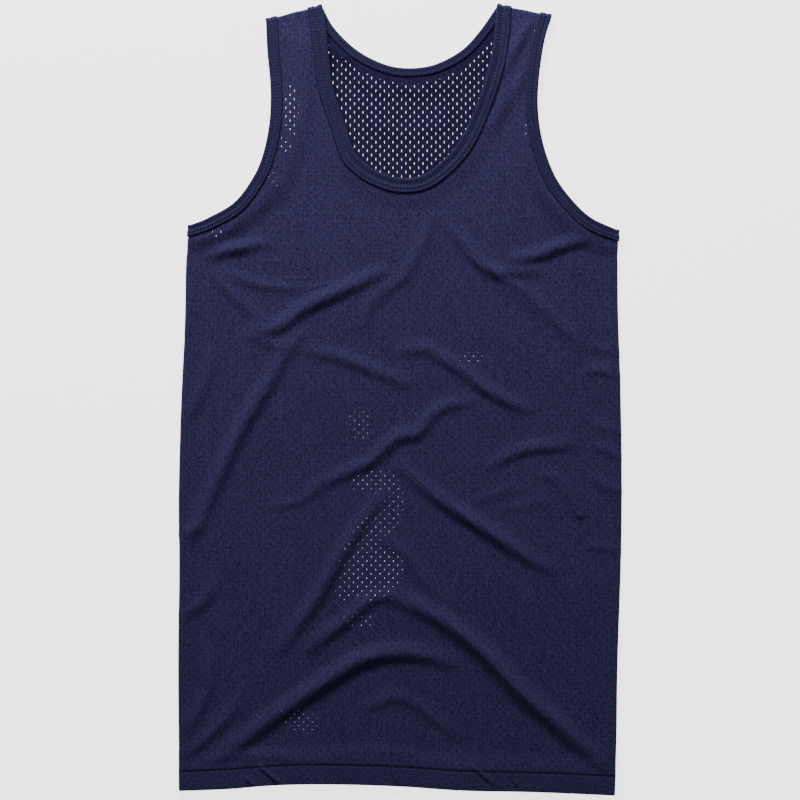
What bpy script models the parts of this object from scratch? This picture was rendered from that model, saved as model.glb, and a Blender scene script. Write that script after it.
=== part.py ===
"""A mesh sports tank top, laid flat on its back.

X runs to the right of the picture, Y from the hem to the shoulders and Z up.
The garment rests on Z = 0, with its origin under the middle of its outline.
Every size is in millimetres and becomes metres when a mesh is made.
"""

from collections import namedtuple
import math

import bmesh
import bpy
from mathutils import Vector
from mathutils.geometry import delaunay_2d_cdt
import numpy as np

MM = 0.001

# Cloth walls
PLY = 1.0  # thickness of one ply, mesh or rib
SEAM_GAP = 0.3  # clearance where pieces meet
STACK = PLY + SEAM_GAP  # from one ply to the next in a pressed stack
AIR = 0.7  # more room than that between the two panels, where nothing presses them
BACK_REST = PLY / 2  # middle of the back panel's wall where it lies on the table
FRONT_REST = BACK_REST + STACK + AIR

# Rib bindings, folded over the raw edges
ARM_BINDING_WIDTH = 11.2
NECK_BINDING_WIDTH = 14.3
BINDING_INNER_WIDTH = 8.4  # the leg inside the garment is narrower
BINDING_TURN = 1.1  # a leg is level from this depth on
BINDING_FOLD = 0.2  # depth of the fold's flat front
BINDING_FOLD_SHARE = 0.6  # how much of the legs' spread the fold's front takes
BINDING_WALL = 0.15  # how much thicker than a leg the fold is
RAW_EDGE = 1.5  # from the binding's fold to the raw edge of the mesh inside it
LEVEL_STRIP = 15.4  # the panel stays level this far in from a bound edge
RISE_LENGTH = 17.0  # the panel comes down from a binding, a side or the hem within this
CROSSING_MARGIN = 13.0  # more level room where the front crosses the back neckline
CROSSING_RISE = 60.0  # and the front comes down from there within this
SHOULDER_LEVEL = 8.0  # level room below a shoulder's fold line
SEAM_ROOM = 0.6  # between the middles of two walls that meet at a rolled seam

# Hem
HEM_DEPTH = 18.5
HEM_RISE = 11.0  # folds reach their full height this far above the hem's plies
FLAT_BESIDE_HEM = 2.0
HEM_SIDE_CLEARANCE = 4.0  # the turned-up plies stop this far inside the side folds

# Rolled edges, where the front turns over to the back
SIDE_ROLL = 2.2  # from the side fold line to the outline
SHOULDER_ROLL = 3.0  # from the shoulder fold line to the outline
SIDE_LIFT = 1.3  # the front ply stands this much higher along a side
ROLL_ANGLES = (64.0, 32.0)  # degrees above the table's plane, then the seam

END_SWING = 22.0  # a bound edge swings round to follow its fold line within this
END_CHORD = 20.0  # length of side that gives the way of an armhole's lower end

# Where the folds die away
CALM_BINDING = 10.0  # within this past the level strip
CALM_SHOULDER = (2.0, 12.0)  # level, then dying away, from a shoulder
CALM_SIDE = 9.0  # within this of a side
SIDE_SHARE = 0.15  # the share of a fold's height that is left at a side

# Mesh spacing
CURVE_SHARES = 24  # steps of a curve between two rows of a table
OUTLINE_STEP = 12.0
GUIDE_STEP = 4.0
CREST_STEP = 6.0
EDGE_STEP = 10.0
SIDE_POINTS = 54
HEM_POINTS = 42
SHOULDER_POINTS = 6
HALF_WIDTH = 216.0  # the lattice of points reaches past the garment on every side
HALF_LENGTH = 380.0
BINDING_STEP = 11.5
FOLD_STEP = 12.0
LEVEL_EVERY = 3  # rows beside a binding take every third guide point
RISE_FOOT = 0.6  # the second of those rows, in rise lengths past the level strip
HEM_ROW_REACH = 200.0
HEM_ROW_STEP = 14.0
FILL_STEP = 24.0
FILL_SPACING = 0.62  # least spacing of the fill, in steps
BACK_STEP = 31.0
ROW_SPACING = 6.0
SLOPE_SPACING = 4.6
NEAREST_POINTS = 3.6  # points of a panel lie at least this far from its edge
SHARP_ANGLE = math.radians(50)
ON_LINE = 0.05  # a rim point this near a fold line lies on it

# The free edge of each binding. Arm edges run from the shoulder down to the side, and
# neck edges from the left shoulder to the right one.
Edge = namedtuple("Edge", "x y")
LEFT_ARM = [
    Edge(-127.5, 358),
    Edge(-126, 330),
    Edge(-123, 296),
    Edge(-124, 262),
    Edge(-131, 229),
    Edge(-142, 206),
    Edge(-158, 186),
    Edge(-182, 172),
    Edge(-200, 165.5),
]
RIGHT_ARM = [
    Edge(143, 364),
    Edge(137, 339),
    Edge(132, 305),
    Edge(131, 276),
    Edge(135, 246),
    Edge(145, 216),
    Edge(159, 194),
    Edge(180, 173),
    Edge(206, 161),
]
FRONT_NECK = [
    Edge(-73, 373),
    Edge(-69.4, 345),
    Edge(-66.5, 318),
    Edge(-62.4, 292),
    Edge(-52.9, 264.5),
    Edge(-43.5, 235.8),
    Edge(-32.5, 223.9),
    Edge(-20, 216),
    Edge(0, 210),
    Edge(22, 213),
    Edge(43, 229),
    Edge(58, 248),
    Edge(71, 276),
    Edge(82, 308),
    Edge(89, 341),
    Edge(92, 375),
]
BACK_NECK = [
    Edge(-73, 373),
    Edge(-62, 352),
    Edge(-40, 331),
    Edge(-14, 318),
    Edge(9, 314.5),
    Edge(33, 318),
    Edge(58, 331),
    Edge(76, 350),
    Edge(92, 375),
]

# The outline of the body below the armholes
Side = namedtuple("Side", "y left right")
SIDES = [
    Side(166, -200, 207),
    Side(130, -203, 207),
    Side(80, -204, 207.5),
    Side(0, -208, 210),
    Side(-90, -210.5, 211),
    Side(-160, -210, 210),
    Side(-250, -211, 207),
    Side(-320, -210.5, 206),
    Side(-382, -210, 204),
]
Hem = namedtuple("Hem", "x y")
HEM = [
    Hem(-216, -371.5),
    Hem(-164, -369.5),
    Hem(-120, -366),
    Hem(-68, -365),
    Hem(0, -367),
    Hem(60, -371),
    Hem(130, -372.5),
    Hem(212, -376),
]

# Folds of the front panel: height of the crest, and how wide it falls away on the side
# towards the shoulders (up) and towards the hem (down). The crest runs through its points.
Fold = namedtuple("Fold", "name height up down crest")
FOLDS = [
    Fold("left_chest", 5.6, 13, 9, (
        (-9, 124), (-52, 104), (-90, 86), (-108, 72), (-125, 65), (-145, 68),
    )),
    Fold("left_long", 6.4, 14, 10, (
        (-89, 66), (-109, 42), (-122, 18), (-148, -24), (-169, -69), (-182, -99), (-191, -122),
        (-206, -141),
    )),
    Fold("middle_left", 3.6, 12, 8, ((-93, 47), (-58, 39), (-31, 29), (-2, 17), (14, 12))),
    Fold("breast_left", 2.8, 12, 8, (
        (34, 176), (24, 152), (13, 131), (4, 116), (-15, 101), (-30, 84), (-38, 62),
    )),
    Fold("breast_right", 3.4, 13, 7, (
        (38, 178), (52, 156), (63, 144), (74, 130), (84, 122.5), (95, 119), (109, 120.5),
        (140, 121),
    )),
    Fold("right_slack", 2.0, 14, 7, (
        (99, 109), (117, 93), (134, 82), (149, 69), (164, 57), (175, 44),
    )),
    Fold("right_underarm", 5.0, 12, 7, (
        (100, 131), (129, 135), (148, 142.5), (166, 148), (182, 151),
    )),
    Fold("middle_right", 4.2, 13, 8, (
        (-6, 44), (24, 46.5), (39, 38), (59, 26), (76, 12), (98, -1), (118, -9.5), (130, -12),
    )),
    Fold("waist_left", 4.6, 12, 8, (
        (-92, -93), (-65.5, -77), (-31, -62), (-16, -49.5), (0, -36), (14, -35), (23, -27.5),
        (31, -15), (43, -8.5), (59, -4), (74, -5.7),
    )),
    Fold("waist_right", 5.6, 13, 9, (
        (-6, -58), (18, -80), (42, -99), (66.5, -115), (95, -134), (123.5, -153), (150, -166),
    )),
    Fold("low_left", 5.6, 14, 9, (
        (-10, -87), (-25, -103), (-49, -138), (-71, -177), (-84, -198), (-101, -222),
        (-117, -246),
    )),
    Fold("low_inner", 3.0, 11, 8, ((-23, -130), (3, -146), (14, -160), (24, -174), (38, -196))),
    Fold("chevron_left", 4.8, 13, 9, (
        (-5, -184), (-25, -190), (-40, -201), (-55, -214), (-71, -226), (-92, -244),
    )),
    Fold("chevron_right", 7.6, 15, 12, (
        (-17, -185), (19, -199), (48, -216), (81, -243), (114, -278), (151, -311), (181, -338),
        (203, -353),
    )),
    Fold("low_arch", 7.2, 15, 11, (
        (-182, -346), (-152, -327), (-115, -299), (-74, -271), (-40, -250), (-10, -242),
        (24, -244), (57, -254),
    )),
    Fold("hem_arch", 2.6, 12, 7, (
        (-36, -297), (-4, -284), (18, -293), (33, -305), (46, -315), (58, -326),
    )),
    Fold("side_arch", 3.4, 12, 8, ((80, -69), (100, -56), (124, -47.5), (148, -45.5), (168, -41))),
    Fold("side_hook", 3.2, 9, 7, ((131, -70), (147, -76), (157, -87), (164, -101), (173, -111))),
    Fold("left_edge_upper", 3.0, 12, 8, (
        (-176, 50), (-181, 28), (-186, 11), (-194, -6), (-205, -23),
    )),
    Fold("left_edge_lower", 3.2, 11, 8, (
        (-181, -235), (-181, -270), (-187, -289), (-196, -305), (-206, -319),
    )),
    Fold("left_underarm", 4.0, 10, 8, ((-186, 134), (-160, 141), (-140, 146), (-122, 149))),
    Fold("right_strap", 2.6, 10, 8, ((133, 361), (118, 341), (104, 310), (88, 262))),
]
FOLD_FEET = (0.55, 1.3)  # rows of points beside a crest, in widths
FOLD_STEEPNESS = 1.5
FOLD_TAPER = 0.55  # how soon a fold gains its height from its ends

NAVY_MESH = ((0.030, 0.032, 0.085, 1.0), 0.85)
NAVY_RIB = ((0.026, 0.029, 0.070, 1.0), 0.9)


def curve_through(rows, step):
    """Points about a step apart on a smooth curve through the rows of a table."""
    knots = np.array([(row[0], row[1]) for row in rows], float)
    knots = np.vstack([2 * knots[0] - knots[1], knots, 2 * knots[-1] - knots[-2]])
    fine = []
    for before, start, end, after in zip(knots, knots[1:], knots[2:], knots[3:]):
        for t in np.linspace(0, 1, CURVE_SHARES, endpoint=False):
            bend = (2 * before - 5 * start + 4 * end - after) * t * t
            bend += (3 * start - before - 3 * end + after) * t**3
            fine.append(0.5 * (2 * start + (end - before) * t + bend))
    fine = np.array(fine + [knots[-2]])
    run = np.concatenate([[0], np.cumsum(np.hypot(*np.diff(fine, axis=0).T))])
    count = max(2, round(run[-1] / step) + 1)
    even = np.linspace(0, run[-1], count)
    return np.column_stack([np.interp(even, run, fine[:, k]) for k in (0, 1)])


def unit(vectors):
    vectors = np.asarray(vectors, float)
    return vectors / np.linalg.norm(vectors, axis=-1, keepdims=True)


def smooth(t):
    t = np.clip(t, 0, 1)
    return t * t * (3 - 2 * t)


def nearest(points, line):
    """Distance, side (+1 to the left of travel) and share of the way, for points beside a line."""
    best = np.full(len(points), np.inf)
    side = np.zeros(len(points))
    share = np.zeros(len(points))
    steps = np.diff(line, axis=0)
    run = np.concatenate([[0], np.cumsum(np.hypot(*steps.T))])
    for index, (start, step) in enumerate(zip(line, steps)):
        offset = points - start
        t = np.clip(offset @ step / (step @ step), 0, 1)
        distance = np.hypot(*(offset - t[:, None] * step).T)
        closer = distance < best
        best = np.where(closer, distance, best)
        cross = step[0] * offset[:, 1] - step[1] * offset[:, 0]
        side = np.where(closer, np.sign(cross), side)
        share = np.where(closer, (run[index] + t * np.hypot(*step)) / run[-1], share)
    return best, side, share


def side_line(column, inward):
    """The fold line of a side, from the hem up: column 1 of the table is left, 2 is right."""
    rows = [(row[0], row[column]) for row in SIDES[::-1]]
    line = curve_through(rows, OUTLINE_STEP)
    return np.column_stack([line[:, 1] + inward, line[:, 0]])


LEFT_SIDE = side_line(1, SIDE_ROLL)
RIGHT_SIDE = side_line(2, -SIDE_ROLL)
HEM_LINE = curve_through(HEM, OUTLINE_STEP)
CRESTS = [(fold, curve_through(fold.crest, CREST_STEP)) for fold in FOLDS]


def side_x(y, side):
    """Where the fold line of a side runs at this height."""
    return np.interp(y, side[:, 1], side[:, 0])


def hem_y(x):
    return np.interp(x, HEM_LINE[:, 0], HEM_LINE[:, 1])


def side_end(side, y):
    """The place on a side's fold line at this height, and the way down the line from it."""
    places = np.array([(side_x(height, side), height) for height in (y, y - END_CHORD)])
    return places[0], unit(places[1] - places[0])


class Shoulder:
    """The straight fold line at the top of one strap, and the way it faces."""

    def __init__(self, outer, inner):
        ends = np.array([outer, inner], float)
        self.along = unit(ends[1] - ends[0])
        self.outward = np.array([-self.along[1], self.along[0]])
        if self.outward[1] < 0:
            self.outward = -self.outward
        self.ends = ends - SHOULDER_ROLL * self.outward


LEFT_SHOULDER = Shoulder(LEFT_ARM[0], FRONT_NECK[0])
RIGHT_SHOULDER = Shoulder(RIGHT_ARM[0], FRONT_NECK[-1])


class BoundEdge:
    """A neck or arm edge: places along it, and the way into the cloth at each."""

    def __init__(self, rows, step, first_way, last_way, inside):
        self.places = curve_through(rows, step)
        ways = np.gradient(self.places, axis=0)
        ways = unit(np.column_stack([-ways[:, 1], ways[:, 0]]))
        if (ways[len(ways) // 2] @ inside) < 0:
            ways = -ways
        run = np.concatenate([[0], np.cumsum(np.hypot(*np.diff(self.places, axis=0).T))])
        first = smooth(1 - run / END_SWING)[:, None]
        last = smooth(1 - (run[-1] - run) / END_SWING)[:, None]
        ways = ways * (1 - first) + np.asarray(first_way) * first
        ways = ways * (1 - last) + np.asarray(last_way) * last
        self.ways = unit(ways)

    def offset(self, distance):
        return self.places + self.ways * distance


def trimmed(rows, first=None, last=None):
    """The rows of an edge with its ends moved to fold lines."""
    rows = [tuple(row) for row in rows]
    if first is not None:
        rows[0] = tuple(first)
    if last is not None:
        rows[-1] = tuple(last)
    return rows


def edges(step):
    """The four bound edges at one spacing."""
    left_end, left_down = side_end(LEFT_SIDE, LEFT_ARM[-1].y)
    right_end, right_down = side_end(RIGHT_SIDE, RIGHT_ARM[-1].y)
    left_rows = trimmed(LEFT_ARM, LEFT_SHOULDER.ends[0], left_end)
    right_rows = trimmed(RIGHT_ARM, RIGHT_SHOULDER.ends[0], right_end)
    neck_ends = LEFT_SHOULDER.ends[1], RIGHT_SHOULDER.ends[1]
    left_neck_way = -LEFT_SHOULDER.along
    right_neck_way = -RIGHT_SHOULDER.along
    front_rows = trimmed(FRONT_NECK, *neck_ends)
    back_rows = trimmed(BACK_NECK, *neck_ends)
    return {
        "left_arm": BoundEdge(left_rows, step, LEFT_SHOULDER.along, left_down, (1, 0)),
        "right_arm": BoundEdge(right_rows, step, RIGHT_SHOULDER.along, right_down, (-1, 0)),
        "front_neck": BoundEdge(front_rows, step, left_neck_way, right_neck_way, (0, -1)),
        "back_neck": BoundEdge(back_rows, step, left_neck_way, right_neck_way, (0, -1)),
    }


GUIDE_EDGES = edges(GUIDE_STEP)


def rise(points, line, level, length=RISE_LENGTH):
    """1 within the level distance of a line, falling smoothly to 0 past it."""
    distance = nearest(points, line)[0]
    return smooth(1 - (distance - level) / length)


def fold_height(points):
    """Height that the folds add to the front panel at each place."""
    total = np.zeros(len(points))
    for fold, crest in CRESTS:
        distance, side, share = nearest(points, crest)
        # The folds' points run so that the shoulder side may lie left or right of travel.
        facing = 1 if crest[-1, 0] >= crest[0, 0] else -1
        width = np.where(side * facing > 0, fold.up, fold.down)
        taper = np.clip(np.sin(math.pi * share), 0, 1) ** FOLD_TAPER
        total += fold.height * taper / np.cosh(FOLD_STEEPNESS * distance / width) ** 2
    return total


def inside_sides(points):
    """Distance from the nearer side's fold line."""
    from_left = points[:, 0] - side_x(points[:, 1], LEFT_SIDE)
    from_right = side_x(points[:, 1], RIGHT_SIDE) - points[:, 0]
    return np.minimum(from_left, from_right)


def calm(points):
    """1 in the free cloth, 0 on the bindings, the hem and the shoulders, where no fold runs."""
    factor = np.ones(len(points))
    for name in ("left_arm", "right_arm", "front_neck"):
        places = GUIDE_EDGES[name].places
        factor = np.minimum(factor, 1 - rise(points, places, LEVEL_STRIP, CALM_BINDING))
    for shoulder in (LEFT_SHOULDER, RIGHT_SHOULDER):
        factor = np.minimum(factor, 1 - rise(points, shoulder.ends, *CALM_SHOULDER))
    above_hem = points[:, 1] - hem_y(points[:, 0]) - HEM_DEPTH
    factor = np.minimum(factor, smooth(above_hem / HEM_RISE))
    near_side = smooth(inside_sides(points) / CALM_SIDE)
    return factor * (SIDE_SHARE + (1 - SIDE_SHARE) * near_side)


def back_middle(points):
    """Height of the middle of the back panel's wall."""
    lift = np.zeros(len(points))
    for name in ("left_arm", "right_arm", "back_neck"):
        lift = np.maximum(lift, rise(points, GUIDE_EDGES[name].places, LEVEL_STRIP))
    return BACK_REST + STACK * lift


def front_middle(points):
    """Height of the middle of the front panel's wall."""
    stacked = BACK_REST + 4 * STACK - FRONT_REST  # where four more plies lie under it
    lift = np.zeros(len(points))
    for name in ("left_arm", "right_arm"):
        lift = np.maximum(lift, stacked * rise(points, GUIDE_EDGES[name].places, LEVEL_STRIP))
    back_neck = GUIDE_EDGES["back_neck"].places
    crossing = rise(points, back_neck, LEVEL_STRIP + CROSSING_MARGIN, CROSSING_RISE)
    lift = np.maximum(lift, stacked * crossing)
    lift = np.maximum(lift, STACK * rise(points, GUIDE_EDGES["front_neck"].places, LEVEL_STRIP))
    for shoulder in (LEFT_SHOULDER, RIGHT_SHOULDER):
        lift = np.maximum(lift, stacked * rise(points, shoulder.ends, SHOULDER_LEVEL))
    hem_stack = BACK_REST + 3 * STACK - FRONT_REST
    above_hem = points[:, 1] - hem_y(points[:, 0]) - HEM_DEPTH - FLAT_BESIDE_HEM
    lift = np.maximum(lift, hem_stack * smooth(1 - above_hem / RISE_LENGTH))
    lift = np.maximum(lift, SIDE_LIFT * smooth(1 - inside_sides(points) / RISE_LENGTH))
    return FRONT_REST + lift + fold_height(points) * calm(points)


def roll_places(points, outward, angle, offset=0.0):
    """Places on a rolled edge: an angle of 90 degrees is the front ply, -90 the back ply."""
    top, bottom = front_middle(points), back_middle(points)
    radius = (top - bottom) / 2 + offset
    turn = np.radians(angle)
    reach = (radius * np.cos(turn))[:, None] * np.asarray(outward)
    height = (top + bottom) / 2 + radius * np.sin(turn)
    return np.column_stack([points + reach, height])


def seam_angles(points):
    """How far above the middle of the roll the front ply stops, for the seam's gap."""
    radius = (front_middle(points) - back_middle(points)) / 2
    return np.degrees(np.arcsin(SEAM_ROOM / 2 / radius))


def outline_of(neck):
    """The panel's edge in the plane, all round, with the raw edges inside the bindings."""
    bound = edges(EDGE_STEP)
    left_arm = bound["left_arm"].offset(RAW_EDGE)
    right_arm = bound["right_arm"].offset(RAW_EDGE)
    neck_line = bound[neck].offset(RAW_EDGE)
    left_y = np.linspace(hem_y(LEFT_SIDE[0][0]), left_arm[-1][1], SIDE_POINTS)
    left = np.column_stack([side_x(left_y, LEFT_SIDE), left_y])[:-1]
    right_y = np.linspace(right_arm[-1][1], hem_y(RIGHT_SIDE[0][0]), SIDE_POINTS)
    right = np.column_stack([side_x(right_y, RIGHT_SIDE), right_y])[1:]
    hem_x = np.linspace(right[-1][0], left[0][0], HEM_POINTS)[1:-1]
    hem = np.column_stack([hem_x, hem_y(hem_x)])
    left_top = between(left_arm[0], neck_line[0])
    right_top = between(neck_line[-1], right_arm[0])
    parts = [left, left_arm[::-1], left_top, neck_line, right_top, right_arm, right, hem]
    return np.vstack(parts)


def between(start, end):
    shares = np.linspace(0, 1, SHOULDER_POINTS)[1:-1, None]
    return start * (1 - shares) + end * shares


def inside_outline(points, outline):
    """Which points lie inside a closed outline."""
    within = np.zeros(len(points), bool)
    for start, end in zip(outline, np.roll(outline, -1, axis=0)):
        spans = (start[1] > points[:, 1]) != (end[1] > points[:, 1])
        rise_y = np.where(spans, end[1] - start[1], 1.0)
        crossing = start[0] + (points[:, 1] - start[1]) / rise_y * (end[0] - start[0])
        within ^= spans & (points[:, 0] < crossing)
    return within


def fill_points(outline, wanted, margin):
    """Outline first, then the wanted points that lie inside and far enough from the others."""
    kept = [tuple(p) for p in outline]
    cells = {}

    def cell_of(p):
        return math.floor(p[0] / FILL_STEP), math.floor(p[1] / FILL_STEP)

    for p in kept:
        cells.setdefault(cell_of(p), []).append(p)
    for group, spacing in wanted:
        group = group[inside_outline(group, outline)]
        group = group[nearest(group, np.vstack([outline, outline[:1]]))[0] > margin]
        for p in map(tuple, group):
            column, row = cell_of(p)
            near = [
                q
                for i in (-1, 0, 1)
                for j in (-1, 0, 1)
                for q in cells.get((column + i, row + j), ())
                if math.hypot(p[0] - q[0], p[1] - q[1]) < spacing
            ]
            if not near:
                kept.append(p)
                cells.setdefault((column, row), []).append(p)
    return kept


def lattice(step):
    """Staggered points over the whole garment."""
    points = []
    for row, y in enumerate(np.arange(-HALF_LENGTH, HALF_LENGTH, step * math.sqrt(3) / 2)):
        for x in np.arange(-HALF_WIDTH, HALF_WIDTH, step):
            points.append((x + (row % 2) * step / 2, y))
    return np.array(points)


def fold_rows(fold):
    """Rows of points along a fold: its crest, then pairs of rows down its two slopes."""
    crest = curve_through(fold.crest, FOLD_STEP)
    ways = np.gradient(crest, axis=0)
    ways = unit(np.column_stack([-ways[:, 1], ways[:, 0]]))
    facing = 1 if crest[-1, 0] >= crest[0, 0] else -1
    rows = [crest]
    for share in FOLD_FEET:
        rows.append(crest + ways * facing * fold.up * share)
        rows.append(crest - ways * facing * fold.down * share)
    return rows


def flat_mesh(outline, points):
    """A triangulated sheet in the plane, inside the outline, as a bmesh."""
    corners = [Vector(p) for p in points]
    border = list(range(len(outline)))
    places, _, faces = delaunay_2d_cdt(corners, [], [border], 1, 1e-4)[:3]
    sheet = bmesh.new(use_operators=True)
    made = [sheet.verts.new((p.x, p.y, 0)) for p in places]
    for face in faces:
        sheet.faces.new([made[i] for i in face])
    loose = [v for v in sheet.verts if not v.link_faces]
    bmesh.ops.delete(sheet, geom=loose, context="VERTS")
    sheet.normal_update()
    if sheet.faces[:][0].normal.z < 0:
        bmesh.ops.reverse_faces(sheet, faces=sheet.faces[:])
    return sheet


def lift(sheet, height):
    """Moves the sheet's points up to a height worked out from their places."""
    for vert, z in zip(sheet.verts, height(places_of(sheet.verts))):
        vert.co.z = z


def places_of(verts):
    return np.array([(v.co.x, v.co.y) for v in verts])


def roll_edge(sheet, line, outward, from_front):
    """Extrudes the rim that lies on a fold line round to the seam with the other panel."""
    verts = [v for v in sheet.verts if v.is_boundary]
    close = nearest(places_of(verts), line)[0] < ON_LINE
    on_line = {vert for vert, near in zip(verts, close) if near}
    rim = [e for e in sheet.edges if e.is_boundary and on_line.issuperset(e.verts)]
    places = {v: (v.co.x, v.co.y) for e in rim for v in e.verts}
    way = 1 if from_front else -1
    for angle in (*ROLL_ANGLES, None):
        made = bmesh.ops.extrude_edge_only(sheet, edges=rim)["geom"]
        rim = [g for g in made if isinstance(g, bmesh.types.BMEdge)]
        fresh = [g for g in made if isinstance(g, bmesh.types.BMVert)]
        olds = [min(places, key=lambda v: (v.co - n.co).length_squared) for n in fresh]
        flat = np.array([places[old] for old in olds])
        turn = seam_angles(flat) if angle is None else angle
        for vert, place in zip(fresh, roll_places(flat, outward, way * turn)):
            vert.co = place
        places = {vert: tuple(place) for vert, place in zip(fresh, flat)}


def finish(name, sheet, collection, material, thickness=None):
    """Makes an object in metres, with its wall from Solidify where it is a sheet."""
    bmesh.ops.recalc_face_normals(sheet, faces=sheet.faces[:])
    bmesh.ops.scale(sheet, vec=(MM, MM, MM), verts=sheet.verts[:])
    mesh = bpy.data.meshes.new(name)
    sheet.to_mesh(mesh)
    sheet.free()
    mesh.materials.append(material)
    obj = bpy.data.objects.new(name, mesh)
    collection.objects.link(obj)
    if thickness:
        wall = obj.modifiers.new("wall", "SOLIDIFY")
        wall.thickness = thickness * MM
        wall.offset = 0
        wall.use_even_offset = True
        wall.use_quality_normals = True
    mesh.shade_smooth()
    mesh.set_sharp_from_angle(angle=SHARP_ANGLE)
    return obj


def panel(name, neck, height, wanted, from_front, collection, material):
    outline = outline_of(neck)
    points = fill_points(outline, wanted, NEAREST_POINTS)
    sheet = flat_mesh(outline, points)
    rolled = (
        (LEFT_SIDE, (-1, 0)),
        (RIGHT_SIDE, (1, 0)),
        (LEFT_SHOULDER.ends, LEFT_SHOULDER.outward),
        (RIGHT_SHOULDER.ends, RIGHT_SHOULDER.outward),
    )
    lift(sheet, height)
    for line, outward in rolled:
        roll_edge(sheet, line, outward, from_front)
    return finish(name, sheet, collection, material, PLY)


def levels_beside(names):
    """Rows of points that hold the level strip beside the bindings and the foot of the rise."""
    rows = []
    for name in names:
        edge = GUIDE_EDGES[name]
        for distance in (LEVEL_STRIP, LEVEL_STRIP + RISE_LENGTH * RISE_FOOT):
            rows.append(edge.offset(distance)[::LEVEL_EVERY])
    return np.vstack(rows)


def front_panel(collection, material):
    rows = [fold_rows(fold) for fold in sorted(FOLDS, key=lambda f: -f.height)]
    crests = np.vstack([row[0] for row in rows])
    slopes = np.vstack([line for row in rows for line in row[1:]])
    hem_x = np.arange(-HEM_ROW_REACH, HEM_ROW_REACH + 1, HEM_ROW_STEP)
    hem_top = np.column_stack([hem_x, hem_y(hem_x) + HEM_DEPTH + FLAT_BESIDE_HEM])
    wanted = [
        (levels_beside(("left_arm", "right_arm", "front_neck")), ROW_SPACING),
        (hem_top, ROW_SPACING),
        (crests, ROW_SPACING),
        (slopes, SLOPE_SPACING),
        (lattice(FILL_STEP), FILL_STEP * FILL_SPACING),
    ]
    return panel("front_panel", "front_neck", front_middle, wanted, True, collection, material)


def back_panel(collection, material):
    wanted = [
        (levels_beside(("left_arm", "right_arm", "back_neck")), ROW_SPACING),
        (lattice(BACK_STEP), BACK_STEP * FILL_SPACING),
    ]
    return panel("back_panel", "back_neck", back_middle, wanted, False, collection, material)


def hem_ply(name, height, collection, material):
    """The turned-up ply of the hem, a flat band just inside its panel."""
    left = LEFT_SIDE[0][0] + HEM_SIDE_CLEARANCE
    right = RIGHT_SIDE[0][0] - HEM_SIDE_CLEARANCE
    xs = np.linspace(left, right, HEM_POINTS)
    band = bmesh.new(use_operators=True)
    bottom = [band.verts.new((x, hem_y(x), 0)) for x in xs]
    for start, end in zip(bottom, bottom[1:]):
        band.edges.new((start, end))
    made = bmesh.ops.extrude_edge_only(band, edges=band.edges[:])["geom"]
    top = [g for g in made if isinstance(g, bmesh.types.BMVert)]
    bmesh.ops.translate(band, vec=(0, HEM_DEPTH, 0), verts=top)
    lift(band, height)
    return finish(name, band, collection, material, PLY)


Section = namedtuple("Section", "depth side")
OUTSIDE = PLY / 2 + SEAM_GAP + PLY
INSIDE = PLY / 2 + SEAM_GAP


def binding_section(width):
    """The corners of a folded binding's section, all round.

    Depth runs from the fold into the cloth. Side runs from the inside of the garment
    (minus) to the outside (plus), from the middle of the panel's wall.
    """
    fold = OUTSIDE * BINDING_FOLD_SHARE
    return [
        Section(width, OUTSIDE),
        Section(BINDING_TURN, OUTSIDE),
        Section(BINDING_FOLD, fold),
        Section(BINDING_FOLD, -fold),
        Section(BINDING_TURN, -OUTSIDE),
        Section(BINDING_INNER_WIDTH, -OUTSIDE),
        Section(BINDING_INNER_WIDTH, -INSIDE),
        Section(PLY + BINDING_WALL, -INSIDE),
        Section(PLY + BINDING_WALL, INSIDE),
        Section(width, INSIDE),
    ]


def flat_stations(edge, height, sign, section):
    """Rings of binding points over a panel: sign -1 turns the outside to the table."""
    depths, sides = np.transpose(section)
    places = edge.places[:, None, :] + edge.ways[:, None, :] * depths[None, :, None]
    heights = height(places.reshape(-1, 2)).reshape(len(edge.places), -1)
    return np.dstack([places, heights + sign * sides])


def turned_stations(edge, end, outward, downwards, section):
    """Rings of binding points round a rolled edge, at one end of a bound edge."""
    depths, sides = np.transpose(section)
    places = edge.places[end] + edge.ways[end] * depths[:, None]
    angles = [*ROLL_ANGLES, 0.0, *(-angle for angle in ROLL_ANGLES[::-1])]
    if not downwards:
        angles.reverse()
    return np.array([roll_places(places, outward, angle, sides) for angle in angles])


def binding(name, front, back, outward, width, collection, material):
    """A loop: along the front edge, round the last fold, and home along the back edge."""
    section = binding_section(width)
    stations = np.concatenate(
        [
            flat_stations(front, front_middle, 1, section),
            turned_stations(front, -1, outward[1], True, section),
            flat_stations(back, back_middle, -1, section)[::-1],
            turned_stations(front, 0, outward[0], False, section),
        ]
    )
    band = bmesh.new(use_operators=True)
    rings = []
    for station in stations:
        verts = [band.verts.new(p) for p in station]
        rings.append([band.edges.new((a, b)) for a, b in zip(verts, verts[1:] + verts[:1])])
    for ring, following in zip(rings, rings[1:] + rings[:1]):
        bmesh.ops.bridge_loops(band, edges=ring + following)
    return finish(name, band, collection, material)


def make_material(name, look):
    colour, roughness = look
    material = bpy.data.materials.new(name)
    material.use_nodes = True
    shader = material.node_tree.nodes["Principled BSDF"]
    shader.inputs["Base Color"].default_value = colour
    shader.inputs["Roughness"].default_value = roughness
    shader.inputs["Metallic"].default_value = 0.0
    return material


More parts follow.
